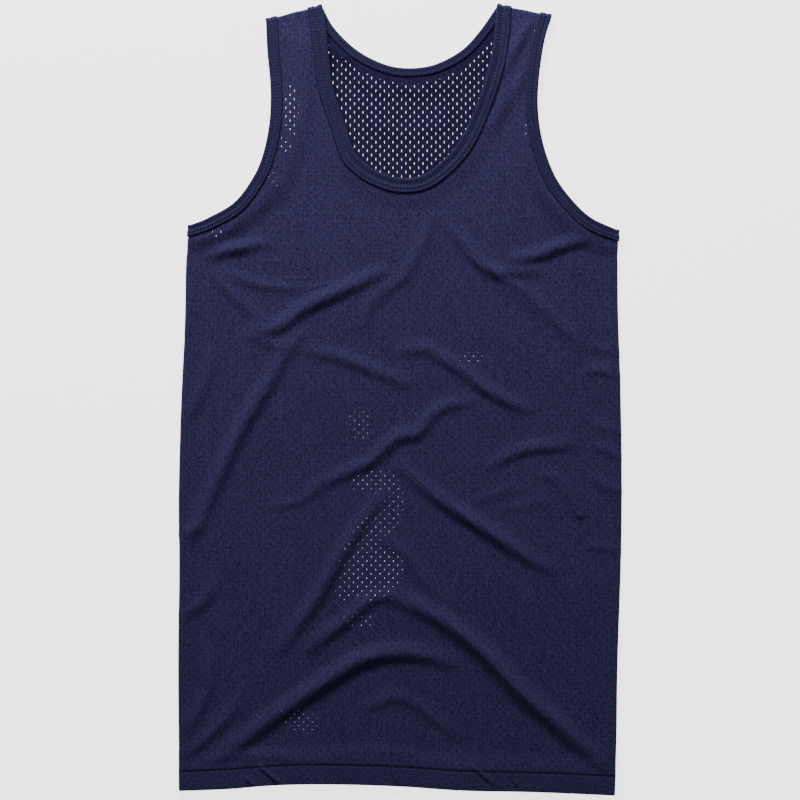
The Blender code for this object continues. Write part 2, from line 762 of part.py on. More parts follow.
def main():
    for obj in list(bpy.data.objects):
        bpy.data.objects.remove(obj)
    collection = bpy.data.collections.new("mesh_tank_top")
    bpy.context.scene.collection.children.link(collection)
    mesh_cloth = make_material("navy_eyelet_mesh", NAVY_MESH)
    rib = make_material("navy_rib", NAVY_RIB)
    front_panel(collection, mesh_cloth)
    back_panel(collection, mesh_cloth)
    hem_ply("front_hem_ply", lambda p: front_middle(p) - STACK, collection, mesh_cloth)
    hem_ply("back_hem_ply", lambda p: back_middle(p) + STACK, collection, mesh_cloth)
    bound = edges(BINDING_STEP)
    left_top, right_top = LEFT_SHOULDER.outward, RIGHT_SHOULDER.outward
    arm, neck = ARM_BINDING_WIDTH, NECK_BINDING_WIDTH
    loops = (
        ("neck_binding", "front_neck", "back_neck", (left_top, right_top), neck),
        ("armhole_binding_left", "left_arm", "left_arm", (left_top, (-1, 0)), arm),
        ("armhole_binding_right", "right_arm", "right_arm", (right_top, (1, 0)), arm),
    )
    for name, front, back, outward, width in loops:
        binding(name, bound[front], bound[back], outward, width, collection, rib)


main()
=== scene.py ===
"""The looks of a mesh sports tank top that lies flat on its back.

X runs to the right of the picture, Y from the hem to the shoulders and Z up.
Sizes are in millimetres, and each piece becomes metres when its mesh is made.
"""

from collections import namedtuple
import math

import bmesh
import bpy
from mathutils import Matrix, Vector
import numpy as np


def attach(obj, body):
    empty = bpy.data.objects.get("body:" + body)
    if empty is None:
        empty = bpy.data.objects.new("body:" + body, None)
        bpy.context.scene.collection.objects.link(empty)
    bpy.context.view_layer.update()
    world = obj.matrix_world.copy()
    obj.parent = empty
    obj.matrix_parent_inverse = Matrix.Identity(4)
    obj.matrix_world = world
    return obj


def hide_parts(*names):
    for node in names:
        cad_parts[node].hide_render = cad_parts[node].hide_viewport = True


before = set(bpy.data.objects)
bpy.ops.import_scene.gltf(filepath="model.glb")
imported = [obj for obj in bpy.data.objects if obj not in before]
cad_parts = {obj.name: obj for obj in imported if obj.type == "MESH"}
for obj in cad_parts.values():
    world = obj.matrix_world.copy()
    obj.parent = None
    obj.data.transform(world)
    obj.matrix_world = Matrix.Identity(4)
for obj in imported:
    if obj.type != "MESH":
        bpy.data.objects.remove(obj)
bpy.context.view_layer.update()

MM = 0.001

# Cloth and stacking, as the frame has them
PLY = 1.0
SEAM_GAP = 0.3
STACK = PLY + SEAM_GAP
AIR = 0.7
BACK_REST = PLY / 2
FRONT_REST = BACK_REST + STACK + AIR
MESH_PLY = 0.8  # the eyelet cloth that shows is a little thinner than its solid

RAW_EDGE = 1.5  # from a binding's fold to the raw edge of the mesh inside it
LEVEL_STRIP = 15.4  # the panel stays level this far in from a bound edge
RISE_LENGTH = 17.0
CROSSING_MARGIN = 13.0
CROSSING_RISE = 60.0
SHOULDER_LEVEL = 8.0
SEAM_ROOM = 0.9
HEM_DEPTH = 18.5
HEM_STITCH = 17.4  # the hem's stitch line above its edge
HEM_RISE = 11.0
FLAT_BESIDE_HEM = 2.0
SIDE_ROLL = 2.2
SHOULDER_ROLL = 3.0
SIDE_LIFT = 1.3
ROLL_ANGLES = (68.0, 46.0, 24.0)
END_SWING = 22.0

# Where the folds die away, as in the frame, and the finer folds reach further
CALM_BINDING = 10.0
CALM_SHOULDER = (2.0, 12.0)
CALM_SIDE = 9.0
SIDE_SHARE = 0.15
FINE_BINDING = (9.5, 6.0)
FINE_SIDE_SHARE = 0.5
BACK_SHARE = 0.3  # how much of the front's folds the back ply takes up

# Eyelets: staggered columns of upright lens-shaped holes
COLUMN_PITCH = 4.2
ROW_PITCH = 4.05
EYELET_WIDTH = 0.62
EYELET_LENGTH = 3.2
UNDER_BINDING = 9.0  # no eyelet this near an edge that a binding covers
BESIDE_FOLD = 3.0  # or this near a side, the hem or a shoulder
SNAP = 4.8
SIDE_SNAP = 0.9
MERGE_WITHIN = 0.25
SIGHT_HEIGHT = 2114.0  # the eye above the floor, which the see-through places are lined up for
WINDOW_SIZE = 1.25  # where a see-through place ends, in its half sizes
WINDOW_FADE = 2.2  # how sharply it ends there

# Where the eyelets of the two layers line up and the floor shows through. share is how far
Window = namedtuple("Window", "x y across along lean share")
WINDOWS = [
    Window(-38, -146, 20, 48, -0.36, 0.56),
    Window(-22, -164, 26, 27, -0.3, 0.6),
    Window(-10, -106, 13, 27, -0.3, 0.52),
    Window(-24, -76, 24, 12, -0.2, 0.56),
    Window(125, 353, 4, 4, 0.0, 0.95),
    Window(120, 258, 3, 8, 0.0, 0.7),
    Window(-103, 276, 7, 27, 0.0, 0.86),
    Window(-112, 246, 7, 13, 0.55, 0.76),
    Window(-124, 216, 6, 16, 0.8, 0.56),
    Window(-177, 159, 13, 5, 0.5, 0.8),
    Window(-38, -21, 12, 17, 0.0, 0.5),
    Window(-96, -303, 20, 14, 0.6, 0.51),
    Window(-42, -207, 18, 9, 0.5, 0.53),
    Window(68, 41, 15, 7, -0.5, 0.55),
    Window(-152, -367, 16, 2.5, 0.0, 0.7),
]

# Rib knit
RIB_PITCH = 2.95
RIB_HEIGHT = 0.22
ARM_WIDTH_SCALE = 0.92
NECK_WIDTH_SCALE = 1.17
FLOOR_CLEARANCE = 0.03

Edge = namedtuple("Edge", "x y")
LEFT_ARM = [
    Edge(-128, 360.5),
    Edge(-126, 330),
    Edge(-123, 296),
    Edge(-124, 262),
    Edge(-131, 229),
    Edge(-142, 206),
    Edge(-158, 186),
    Edge(-182, 172),
    Edge(-200, 165.5),
]
RIGHT_ARM = [
    Edge(144.3, 364.6),
    Edge(137, 339),
    Edge(132, 305),
    Edge(131, 276),
    Edge(135, 246),
    Edge(145, 216),
    Edge(159, 194),
    Edge(180, 173),
    Edge(206, 161),
]
FRONT_NECK = [
    Edge(-74, 374.5),
    Edge(-69.4, 345),
    Edge(-66.5, 318),
    Edge(-62.4, 292),
    Edge(-52.9, 264.5),
    Edge(-43.5, 235.8),
    Edge(-32.5, 223.9),
    Edge(-20, 216),
    Edge(0, 210),
    Edge(22, 213),
    Edge(43, 229),
    Edge(58, 248),
    Edge(71, 276),
    Edge(82, 308),
    Edge(89, 341),
    Edge(92, 375),
]
BACK_NECK = [
    Edge(-74, 374.5),
    Edge(-62, 352),
    Edge(-40, 331),
    Edge(-14, 318),
    Edge(9, 314.5),
    Edge(33, 318),
    Edge(58, 331),
    Edge(76, 350),
    Edge(92, 375),
]
Side = namedtuple("Side", "y left right")
SIDES = [
    Side(166, -200, 207),
    Side(130, -203, 207),
    Side(80, -204, 207.5),
    Side(0, -208, 210),
    Side(-90, -210.5, 211),
    Side(-160, -210, 210),
    Side(-250, -211, 207),
    Side(-320, -210.5, 206),
    Side(-382, -210, 204),
]
Hem = namedtuple("Hem", "x y")
HEM = [
    Hem(-216, -371.5),
    Hem(-164, -369.5),
    Hem(-120, -366),
    Hem(-68, -365),
    Hem(0, -367),
    Hem(60, -371),
    Hem(130, -372.5),
    Hem(212, -376),
]

# Folds: height of the crest, and how wide it falls towards the shoulders (up) and the hem
Fold = namedtuple("Fold", "name height up down crest")
FOLDS = [
    Fold("left_chest", 5.6, 13, 9, (
        (-9, 124), (-52, 104), (-90, 86), (-108, 72), (-125, 65), (-145, 68),
    )),
    Fold("left_long", 6.4, 14, 10, (
        (-89, 66), (-109, 42), (-122, 18), (-148, -24), (-169, -69), (-182, -99), (-191, -122),
        (-206, -141),
    )),
    Fold("middle_left", 3.6, 12, 8, ((-93, 47), (-58, 39), (-31, 29), (-2, 17), (14, 12))),
    Fold("breast_left", 2.8, 12, 8, (
        (34, 176), (24, 152), (13, 131), (4, 116), (-15, 101), (-30, 84), (-38, 62),
    )),
    Fold("breast_right", 3.4, 13, 7, (
        (38, 178), (52, 156), (63, 144), (74, 130), (84, 122.5), (95, 119), (109, 120.5),
        (140, 121),
    )),
    Fold("right_slack", 2.0, 14, 7, (
        (99, 109), (117, 93), (134, 82), (149, 69), (164, 57), (175, 44),
    )),
    Fold("right_underarm", 5.0, 12, 7, (
        (100, 131), (129, 135), (148, 142.5), (166, 148), (182, 151),
    )),
    Fold("middle_right", 4.2, 13, 8, (
        (-6, 44), (24, 46.5), (39, 38), (59, 26), (76, 12), (98, -1), (118, -9.5), (130, -12),
    )),
    Fold("waist_left", 4.6, 12, 8, (
        (-92, -93), (-65.5, -77), (-31, -62), (-16, -49.5), (0, -36), (14, -35), (23, -27.5),
        (31, -15), (43, -8.5), (59, -4), (74, -5.7),
    )),
    Fold("waist_right", 5.6, 13, 9, (
        (-6, -58), (18, -80), (42, -99), (66.5, -115), (95, -134), (123.5, -153), (150, -166),
    )),
    Fold("low_left", 5.6, 14, 9, (
        (-10, -87), (-25, -103), (-49, -138), (-71, -177), (-84, -198), (-101, -222),
        (-117, -246),
    )),
    Fold("low_inner", 3.0, 11, 8, ((-23, -130), (3, -146), (14, -160), (24, -174), (38, -196))),
    Fold("chevron_left", 4.8, 13, 9, (
        (-5, -184), (-25, -190), (-40, -201), (-55, -214), (-71, -226), (-92, -244),
    )),
    Fold("chevron_right", 7.6, 15, 12, (
        (-17, -185), (19, -199), (48, -216), (81, -243), (114, -278), (151, -311), (181, -338),
        (203, -353),
    )),
    Fold("low_arch", 7.2, 15, 11, (
        (-182, -346), (-152, -327), (-115, -299), (-74, -271), (-40, -250), (-10, -242),
        (24, -244), (57, -254),
    )),
    Fold("hem_arch", 2.6, 12, 7, (
        (-36, -297), (-4, -284), (18, -293), (33, -305), (46, -315), (58, -326),
    )),
    Fold("side_arch", 3.4, 12, 8, ((80, -69), (100, -56), (124, -47.5), (148, -45.5), (168, -41))),
    Fold("side_hook", 3.2, 9, 7, ((131, -70), (147, -76), (157, -87), (164, -101), (173, -111))),
    Fold("left_edge_upper", 3.0, 12, 8, (
        (-176, 50), (-181, 28), (-186, 11), (-194, -6), (-205, -23),
    )),
    Fold("left_edge_lower", 3.2, 11, 8, (
        (-181, -235), (-181, -270), (-187, -289), (-196, -305), (-206, -319),
    )),
    Fold("left_underarm", 4.0, 10, 8, ((-186, 134), (-160, 141), (-140, 146), (-122, 149))),
    Fold("right_strap", 2.6, 10, 8, ((133, 361), (118, 341), (104, 310), (88, 262))),
]
# Small folds that the frame leaves out. A name in _edge steepens one of its long folds
FINE_FOLDS = [
    Fold("strap_right_ridge", 3.6, 10, 8, (
        (129, 372), (121, 354), (112, 337), (102, 320), (94, 303),
    )),
    Fold("strap_right_low", 3.4, 12, 10, (
        (127, 334), (121, 317), (110, 295), (98, 274), (86, 252),
    )),
    Fold("strap_left", 2.8, 15, 12, (
        (-95, 352), (-92, 322), (-91, 285), (-95, 250), (-104, 217), (-119, 193), (-142, 174),
    )),
    Fold("armhole_right", 2.0, 8, 8, (
        (115, 268), (119, 240), (129, 211), (145, 186), (168, 164), (186, 155),
    )),
    Fold("armhole_left", 1.3, 10, 8, ((-200, 152), (-178, 154), (-160, 162), (-144, 176))),
    Fold("underarm_left_dimple", 1.6, 11, 6, ((-178, 137), (-166, 142), (-153, 142), (-142, 138))),
    Fold("right_line", 2.6, 9, 5, (
        (44, 165), (55, 151), (70, 133), (93, 116), (118, 102), (143, 80), (174, 46),
    )),
    Fold("chevron_right_edge", 2.4, 9, 6, (
        (19, -199), (48, -216), (81, -243), (114, -278), (151, -311), (181, -338),
    )),
    Fold("waist_right_edge", 1.4, 8, 5, (
        (18, -80), (42, -99), (66, -115), (95, -134), (123, -153),
    )),
    Fold("middle_right_edge", 1.2, 8, 5, ((59, 26), (76, 12), (98, -1), (118, -9))),
    Fold("underarm_left_low", 2.6, 8, 7, (
        (-166, 122), (-150, 113), (-131, 108), (-112, 106), (-90, 106),
    )),
    Fold("underarm_slant", 2.4, 9, 7, (
        (-180, 124), (-167, 106), (-152, 91), (-137, 79), (-124, 75),
    )),
    Fold("left_chest_under", 2.4, 9, 7, ((-150, 59), (-134, 57), (-119, 50), (-106, 49))),
    Fold("left_branch", 2.4, 7, 7, ((-211, -128), (-204, -127), (-196, -123), (-188, -116))),
    Fold("left_edge_middle", 3.4, 11, 8, ((-174, -166), (-181, -186), (-194, -199), (-210, -211))),
    Fold("left_edge_foot", 3.2, 9, 8, (
        (-212, -342), (-195, -332), (-180, -319), (-164, -303), (-150, -281),
    )),
    Fold("left_edge_top", 2.6, 11, 9, ((-201, 155), (-201, 120), (-200, 92), (-204, 58))),
    Fold("right_pucker_1", 1.8, 7, 6, ((178, 51), (193, 47), (210, 42))),
    Fold("right_pucker_2", 2.4, 8, 6, ((175, 24), (191, 27), (210, 19))),
    Fold("right_pucker_3", 1.8, 7, 6, ((182, -24), (197, -28), (212, -36))),
    Fold("right_pucker_4", 2.4, 8, 6, ((180, -43), (196, -49), (212, -59))),
    Fold("right_pucker_5", 2.4, 8, 6, ((180, -72), (194, -82), (212, -91))),
    Fold("right_pucker_6", 1.8, 7, 6, ((176, -140), (193, -141), (211, -147))),
    Fold("side_arch_under", 1.5, 8, 7, ((68, -97), (86, -93), (103, -86), (122, -88))),
    Fold("side_arch_foot", 1.3, 7, 6, ((93, -104), (112, -103), (128, -98), (148, -99))),
    Fold("waist_tail", 1.8, 8, 7, ((-130, -103), (-109, -100), (-92, -96), (-76, -86))),
    Fold("hem_left_pad", 1.5, 9, 7, ((-172, -342), (-150, -338), (-122, -338), (-96, -342))),
    Fold("hem_middle_pad", 1.2, 10, 7, ((-70, -338), (-30, -334), (20, -338))),
]
# The same on the back panel
BACK_FOLDS = [
    Fold("pinch_left", 2.4, 7, 6, ((-76, 341), (-64, 331), (-54, 325), (-44, 321))),
    Fold("pinch_right", 1.6, 6, 6, ((66, 245), (78, 248), (95, 247))),
    Fold("wave_left", 1.4, 9, 8, ((-40, 305), (-26, 294), (-8, 288))),
    Fold("wave_middle", 1.5, 9, 7, ((-10, 304), (6, 294), (24, 288))),
    Fold("wave_right", 1.4, 9, 8, ((16, 306), (31, 297), (48, 291))),
    Fold("inner_slack", 1.2, 13, 12, ((-38, 263), (-8, 254), (24, 256), (54, 269))),
]
# Creases too fine for the eyelet net, drawn in its materials: from one end to the other
Crease = namedtuple("Crease", "x0 y0 x1 y1 half_width height")
CREASES = [
    Crease(-148, -357, -134, -371, 4.5, 1.3),
    Crease(-137, -345, -109, -369, 4.0, 1.6),
    Crease(-9, -346, -2, -366, 3.5, 1.0),
    Crease(64, -345, 94, -369, 4.0, 1.4),
    Crease(101, -346, 111, -369, 3.5, 1.1),
    Crease(164, -350, 172, -371, 3.5, 0.8),
    Crease(-134, 131, -110, 131, 3.0, 0.35),
    Crease(-136, 117, -118, 114, 2.6, 0.3),
    Crease(-118, 115, -82, 114, 3.0, 0.4),
    Crease(-100, 123, -76, 126, 2.6, 0.2),
    Crease(104, 222, 124, 220, 2.6, 0.2),
    Crease(101, 171, 136, 174, 2.8, 0.25),
    Crease(166, -108, 176, -113, 5.0, 1.2),
    Crease(-92, 103, -62, 112, 3.0, 0.6),
    Crease(60, 252, 76, 258, 4.0, 0.8),
]
FOLD_SHARE = 0.75  # crests stand a little lower than on the solid, on steeper slopes
FOLD_REACH = 0.95  # a fold meets the flat cloth this far from its crest, in widths
FOLD_TAPER = 0.55


def curve_through(rows, step):
    """Points about a step apart on a smooth curve through the rows of a table."""
    knots = np.array([(row[0], row[1]) for row in rows], float)
    knots = np.vstack([2 * knots[0] - knots[1], knots, 2 * knots[-1] - knots[-2]])
    fine = []
    for before, start, end, after in zip(knots, knots[1:], knots[2:], knots[3:]):
        for t in np.linspace(0, 1, 24, endpoint=False):
            bend = (2 * before - 5 * start + 4 * end - after) * t * t
            bend += (3 * start - before - 3 * end + after) * t**3
            fine.append(0.5 * (2 * start + (end - before) * t + bend))
    fine = np.array(fine + [knots[-2]])
    run = run_along(fine)
    count = max(2, round(run[-1] / step) + 1)
    even = np.linspace(0, run[-1], count)
    return np.column_stack([np.interp(even, run, fine[:, k]) for k in (0, 1)])


def run_along(line):
    return np.concatenate([[0], np.cumsum(np.hypot(*np.diff(line, axis=0).T))])


def unit(vectors):
    vectors = np.asarray(vectors, float)
    return vectors / np.linalg.norm(vectors, axis=-1, keepdims=True)


def smooth(t):
    t = np.clip(t, 0, 1)
    return t * t * (3 - 2 * t)


def nearest(points, line):
    """Distance, side (+1 to the left of travel) and share of the way, for points beside a line."""
    best = np.full(len(points), np.inf)
    side = np.zeros(len(points))
    share = np.zeros(len(points))
    run = run_along(line)
    for index, (start, step) in enumerate(zip(line, np.diff(line, axis=0))):
        offset = points - start
        t = np.clip(offset @ step / (step @ step), 0, 1)
        distance = np.hypot(*(offset - t[:, None] * step).T)
        closer = distance < best
        best[closer] = distance[closer]
        side[closer] = np.sign(step[0] * offset[closer, 1] - step[1] * offset[closer, 0])
        share[closer] = (run[index] + t[closer] * np.hypot(*step)) / run[-1]
    return best, side, share


def side_line(column, inward):
    rows = [(row[0], row[column]) for row in SIDES[::-1]]
    line = curve_through(rows, 12.0)
    return np.column_stack([line[:, 1] + inward, line[:, 0]])


LEFT_SIDE = side_line(1, SIDE_ROLL)
RIGHT_SIDE = side_line(2, -SIDE_ROLL)
HEM_LINE = curve_through(HEM, 12.0)


def side_x(y, side):
    return np.interp(y, side[:, 1], side[:, 0])


def hem_y(x):
    return np.interp(x, HEM_LINE[:, 0], HEM_LINE[:, 1])


def side_end(side, y):
    places = np.array([(side_x(height, side), height) for height in (y, y - 20.0)])
    return places[0], unit(places[1] - places[0])


class Shoulder:
    """The straight fold line at the top of one strap, and the way it faces."""

    def __init__(self, outer, inner):
        ends = np.array([outer, inner], float)
        self.along = unit(ends[1] - ends[0])
        self.outward = np.array([-self.along[1], self.along[0]])
        if self.outward[1] < 0:
            self.outward = -self.outward
        self.ends = ends - SHOULDER_ROLL * self.outward


LEFT_SHOULDER = Shoulder(LEFT_ARM[0], FRONT_NECK[0])
RIGHT_SHOULDER = Shoulder(RIGHT_ARM[0], FRONT_NECK[-1])


class BoundEdge:
    """A neck or arm edge: places along it, and the way into the cloth at each."""

    def __init__(self, rows, step, first_way, last_way, inside):
        self.places = curve_through(rows, step)
        ways = np.gradient(self.places, axis=0)
        ways = unit(np.column_stack([-ways[:, 1], ways[:, 0]]))
        if (ways[len(ways) // 2] @ inside) < 0:
            ways = -ways
        self.run = run_along(self.places)
        first = smooth(1 - self.run / END_SWING)[:, None]
        last = smooth(1 - (self.run[-1] - self.run) / END_SWING)[:, None]
        ways = ways * (1 - first) + np.asarray(first_way) * first
        ways = ways * (1 - last) + np.asarray(last_way) * last
        self.ways = unit(ways)

    def offset(self, distance):
        return self.places + self.ways * distance


def edges(step):
    """The four bound edges at one spacing, with their ends on the fold lines."""
    left_end, left_down = side_end(LEFT_SIDE, LEFT_ARM[-1].y)
    right_end, right_down = side_end(RIGHT_SIDE, RIGHT_ARM[-1].y)
    left_rows = [LEFT_SHOULDER.ends[0], *LEFT_ARM[1:-1], left_end]
    right_rows = [RIGHT_SHOULDER.ends[0], *RIGHT_ARM[1:-1], right_end]
    front_rows = [LEFT_SHOULDER.ends[1], *FRONT_NECK[1:-1], RIGHT_SHOULDER.ends[1]]
    back_rows = [LEFT_SHOULDER.ends[1], *BACK_NECK[1:-1], RIGHT_SHOULDER.ends[1]]
    neck_ways = -LEFT_SHOULDER.along, -RIGHT_SHOULDER.along
    return {
        "left_arm": BoundEdge(left_rows, step, LEFT_SHOULDER.along, left_down, (1, 0)),
        "right_arm": BoundEdge(right_rows, step, RIGHT_SHOULDER.along, right_down, (-1, 0)),
        "front_neck": BoundEdge(front_rows, step, *neck_ways, (0, -1)),
        "back_neck": BoundEdge(back_rows, step, *neck_ways, (0, -1)),
    }


GUIDE_EDGES = edges(4.0)
CRESTS, FINE_CRESTS, BACK_CRESTS = (
    [(fold, curve_through(fold.crest, 4.0)) for fold in table]
    for table in (FOLDS, FINE_FOLDS, BACK_FOLDS)
)


def rise(points, line, level, length=RISE_LENGTH):
    """1 within the level distance of a line, falling smoothly to 0 past it."""
    reach = level + length
    low, high = line.min(axis=0) - reach, line.max(axis=0) + reach
    close = ((points > low) & (points < high)).all(axis=1)
    result = np.zeros(len(points))
    distance = nearest(points[close], line)[0]
    result[close] = smooth(1 - (distance - level) / length)
    return result


def fold_height(points, crests):
    """Height that a table's folds add at each place."""
    total = np.zeros(len(points))
    for fold, crest in crests:
        reach = max(fold.up, fold.down)
        low, high = crest.min(axis=0) - reach, crest.max(axis=0) + reach
        close = ((points > low) & (points < high)).all(axis=1)
        distance, side, share = nearest(points[close], crest)
        facing = 1 if crest[-1, 0] >= crest[0, 0] else -1
        width = np.where(side * facing > 0, fold.up, fold.down)
        taper = np.clip(np.sin(math.pi * share), 0, 1) ** FOLD_TAPER
        away = np.clip(distance / (FOLD_REACH * width), 0, 1)
        total[close] += fold.height * FOLD_SHARE * taper * np.cos(math.pi / 2 * away) ** 2
    return total


def inside_sides(points):
    from_left = points[:, 0] - side_x(points[:, 1], LEFT_SIDE)
    from_right = side_x(points[:, 1], RIGHT_SIDE) - points[:, 0]
    return np.minimum(from_left, from_right)


def calm(points, binding, side_share):
    """1 in the free cloth, falling off towards the bindings, the shoulders and the sides."""
    factor = np.ones(len(points))
    for name in ("left_arm", "right_arm", "front_neck"):
        factor = np.minimum(factor, 1 - rise(points, GUIDE_EDGES[name].places, *binding))
    for shoulder in (LEFT_SHOULDER, RIGHT_SHOULDER):
        factor = np.minimum(factor, 1 - rise(points, shoulder.ends, *CALM_SHOULDER))
    near_side = smooth(inside_sides(points) / CALM_SIDE)
    return factor * (side_share + (1 - side_share) * near_side)


def main_folds(points):
    above_hem = points[:, 1] - hem_y(points[:, 0]) - HEM_DEPTH
    free = calm(points, (LEVEL_STRIP, CALM_BINDING), SIDE_SHARE) * smooth(above_hem / HEM_RISE)
    return fold_height(points, CRESTS) * free


def back_middle(points):
    """Height of the middle of the back panel's wall."""
    lift = np.zeros(len(points))
    for name in ("left_arm", "right_arm", "back_neck"):
        lift = np.maximum(lift, rise(points, GUIDE_EDGES[name].places, LEVEL_STRIP))
    folds = BACK_SHARE * main_folds(points) + fold_height(points, BACK_CRESTS)
    return BACK_REST + STACK * lift + folds


def front_middle(points):
    """Height of the middle of the front panel's wall."""
    stacked = BACK_REST + 4 * STACK - FRONT_REST
    lift = np.zeros(len(points))
    for name in ("left_arm", "right_arm"):
        lift = np.maximum(lift, stacked * rise(points, GUIDE_EDGES[name].places, LEVEL_STRIP))
    back_neck = GUIDE_EDGES["back_neck"].places
    crossing = rise(points, back_neck, LEVEL_STRIP + CROSSING_MARGIN, CROSSING_RISE)
    lift = np.maximum(lift, stacked * crossing)
    lift = np.maximum(lift, STACK * rise(points, GUIDE_EDGES["front_neck"].places, LEVEL_STRIP))
    for shoulder in (LEFT_SHOULDER, RIGHT_SHOULDER):
        lift = np.maximum(lift, stacked * rise(points, shoulder.ends, SHOULDER_LEVEL))
    hem_stack = BACK_REST + 3 * STACK - FRONT_REST
    above_hem = points[:, 1] - hem_y(points[:, 0]) - HEM_DEPTH - FLAT_BESIDE_HEM
    lift = np.maximum(lift, hem_stack * smooth(1 - above_hem / RISE_LENGTH))
    lift = np.maximum(lift, SIDE_LIFT * smooth(1 - inside_sides(points) / RISE_LENGTH))
    fine = fold_height(points, FINE_CRESTS) * calm(points, FINE_BINDING, FINE_SIDE_SHARE)
    return FRONT_REST + lift + main_folds(points) + fine


def roll_places(points, outward, angle, offset=0.0):
    """Places on a rolled edge: an angle of 90 degrees is the front ply, -90 the back ply."""
    top, bottom = front_middle(points), back_middle(points)
    radius = (top - bottom) / 2 + offset
    turn = np.radians(angle)
    reach = (radius * np.cos(turn))[:, None] * np.asarray(outward)
    height = (top + bottom) / 2 + radius * np.sin(turn)
    return np.column_stack([points + reach, height])


def seam_angles(points):
    radius = (front_middle(points) - back_middle(points)) / 2
    return np.degrees(np.arcsin(SEAM_ROOM / 2 / radius))


# Eyelet cloth

def outline_of(neck):
    """The cut edge of a panel in the plane, all round, finely spaced."""
    bound = GUIDE_EDGES
    left_arm = bound["left_arm"].offset(RAW_EDGE)
    right_arm = bound["right_arm"].offset(RAW_EDGE)
    neck_line = bound[neck].offset(RAW_EDGE)
    left = LEFT_SIDE[LEFT_SIDE[:, 1] < left_arm[-1][1]]
    right = RIGHT_SIDE[RIGHT_SIDE[:, 1] < right_arm[-1][1]][::-1]
    return np.vstack([left, left_arm[::-1], neck_line, right_arm, right])


def inside_outline(points, outline):
    within = np.zeros(len(points), bool)
    for start, end in zip(outline, np.roll(outline, -1, axis=0)):
        spans = (start[1] > points[:, 1]) != (end[1] > points[:, 1])
        rise_y = np.where(spans, end[1] - start[1], 1.0)
        crossing = start[0] + (points[:, 1] - start[1]) / rise_y * (end[0] - start[0])
        within ^= spans & (points[:, 0] < crossing)
    return within


# The lattice is drawn stretched, so that one bevel width gives an eyelet both its sizes.
STRETCH = np.array([2 * COLUMN_PITCH / EYELET_WIDTH, 2 * ROW_PITCH / EYELET_LENGTH])
LATTICE_BOTTOM = -372.0
LATTICE_TOP = 378.0
BODY_WIDTH = 415.0
HEM_FOLLOWED = 90.0  # rows follow the hem's curve up to this far above it
SLIP_FROM_HEM = 24.0  # and the two layers part over this height


def window_share(places):
    """1 where the two layers' eyelets line up, 0 where they lie a whole row apart."""
    share = np.zeros(len(places))
    for window in WINDOWS:
        offset = places - (window.x, window.y)
        across = (offset[:, 0] + window.lean * offset[:, 1]) / window.across
        along = offset[:, 1] / window.along
        near = smooth(WINDOW_FADE * (WINDOW_SIZE - np.hypot(across, along)))
        share = np.maximum(share, window.share * near)
    return share


class Lattice:
    """Columns and rows of cells that follow the sides and the hem of a panel."""

    def __init__(self, slips):
        self.columns = round(BODY_WIDTH / COLUMN_PITCH)
        self.rows = round((LATTICE_TOP - LATTICE_BOTTOM) / ROW_PITCH)
        self.pitch = (LATTICE_TOP - LATTICE_BOTTOM) / self.rows
        self.slips = slips

    def places(self, cells):
        """From column and row numbers to places in the plane."""
        y = LATTICE_BOTTOM + cells[:, 1] * self.pitch
        near_hem = 1 - smooth((y - LATTICE_BOTTOM) / HEM_FOLLOWED)
        y = y + (hem_y(self.across(cells, y)) - LATTICE_BOTTOM) * near_hem
        places = np.column_stack([self.across(cells, y), y])
        return self.slipped(places) if self.slips else places

    def across(self, cells, y):
        left, right = side_x(y, LEFT_SIDE), side_x(y, RIGHT_SIDE)
        return left + (right - left) * cells[:, 0] / self.columns

    def slipped(self, places):
        """The back layer lies a row lower, except where the photo shows the floor through both."""
        lined_up = window_share(places)
        gap = front_middle(places) - back_middle(places)
        free = smooth((places[:, 1] - hem_y(places[:, 0])) / SLIP_FROM_HEM)
        step = -self.pitch * (1 - lined_up) * free
        sight = places * (gap / SIGHT_HEIGHT * lined_up)[:, None]
        return places + sight + np.column_stack([np.zeros(len(places)), step])


def coordinates(verts):
    return np.array([vert.co[:2] for vert in verts]).reshape(-1, 2)


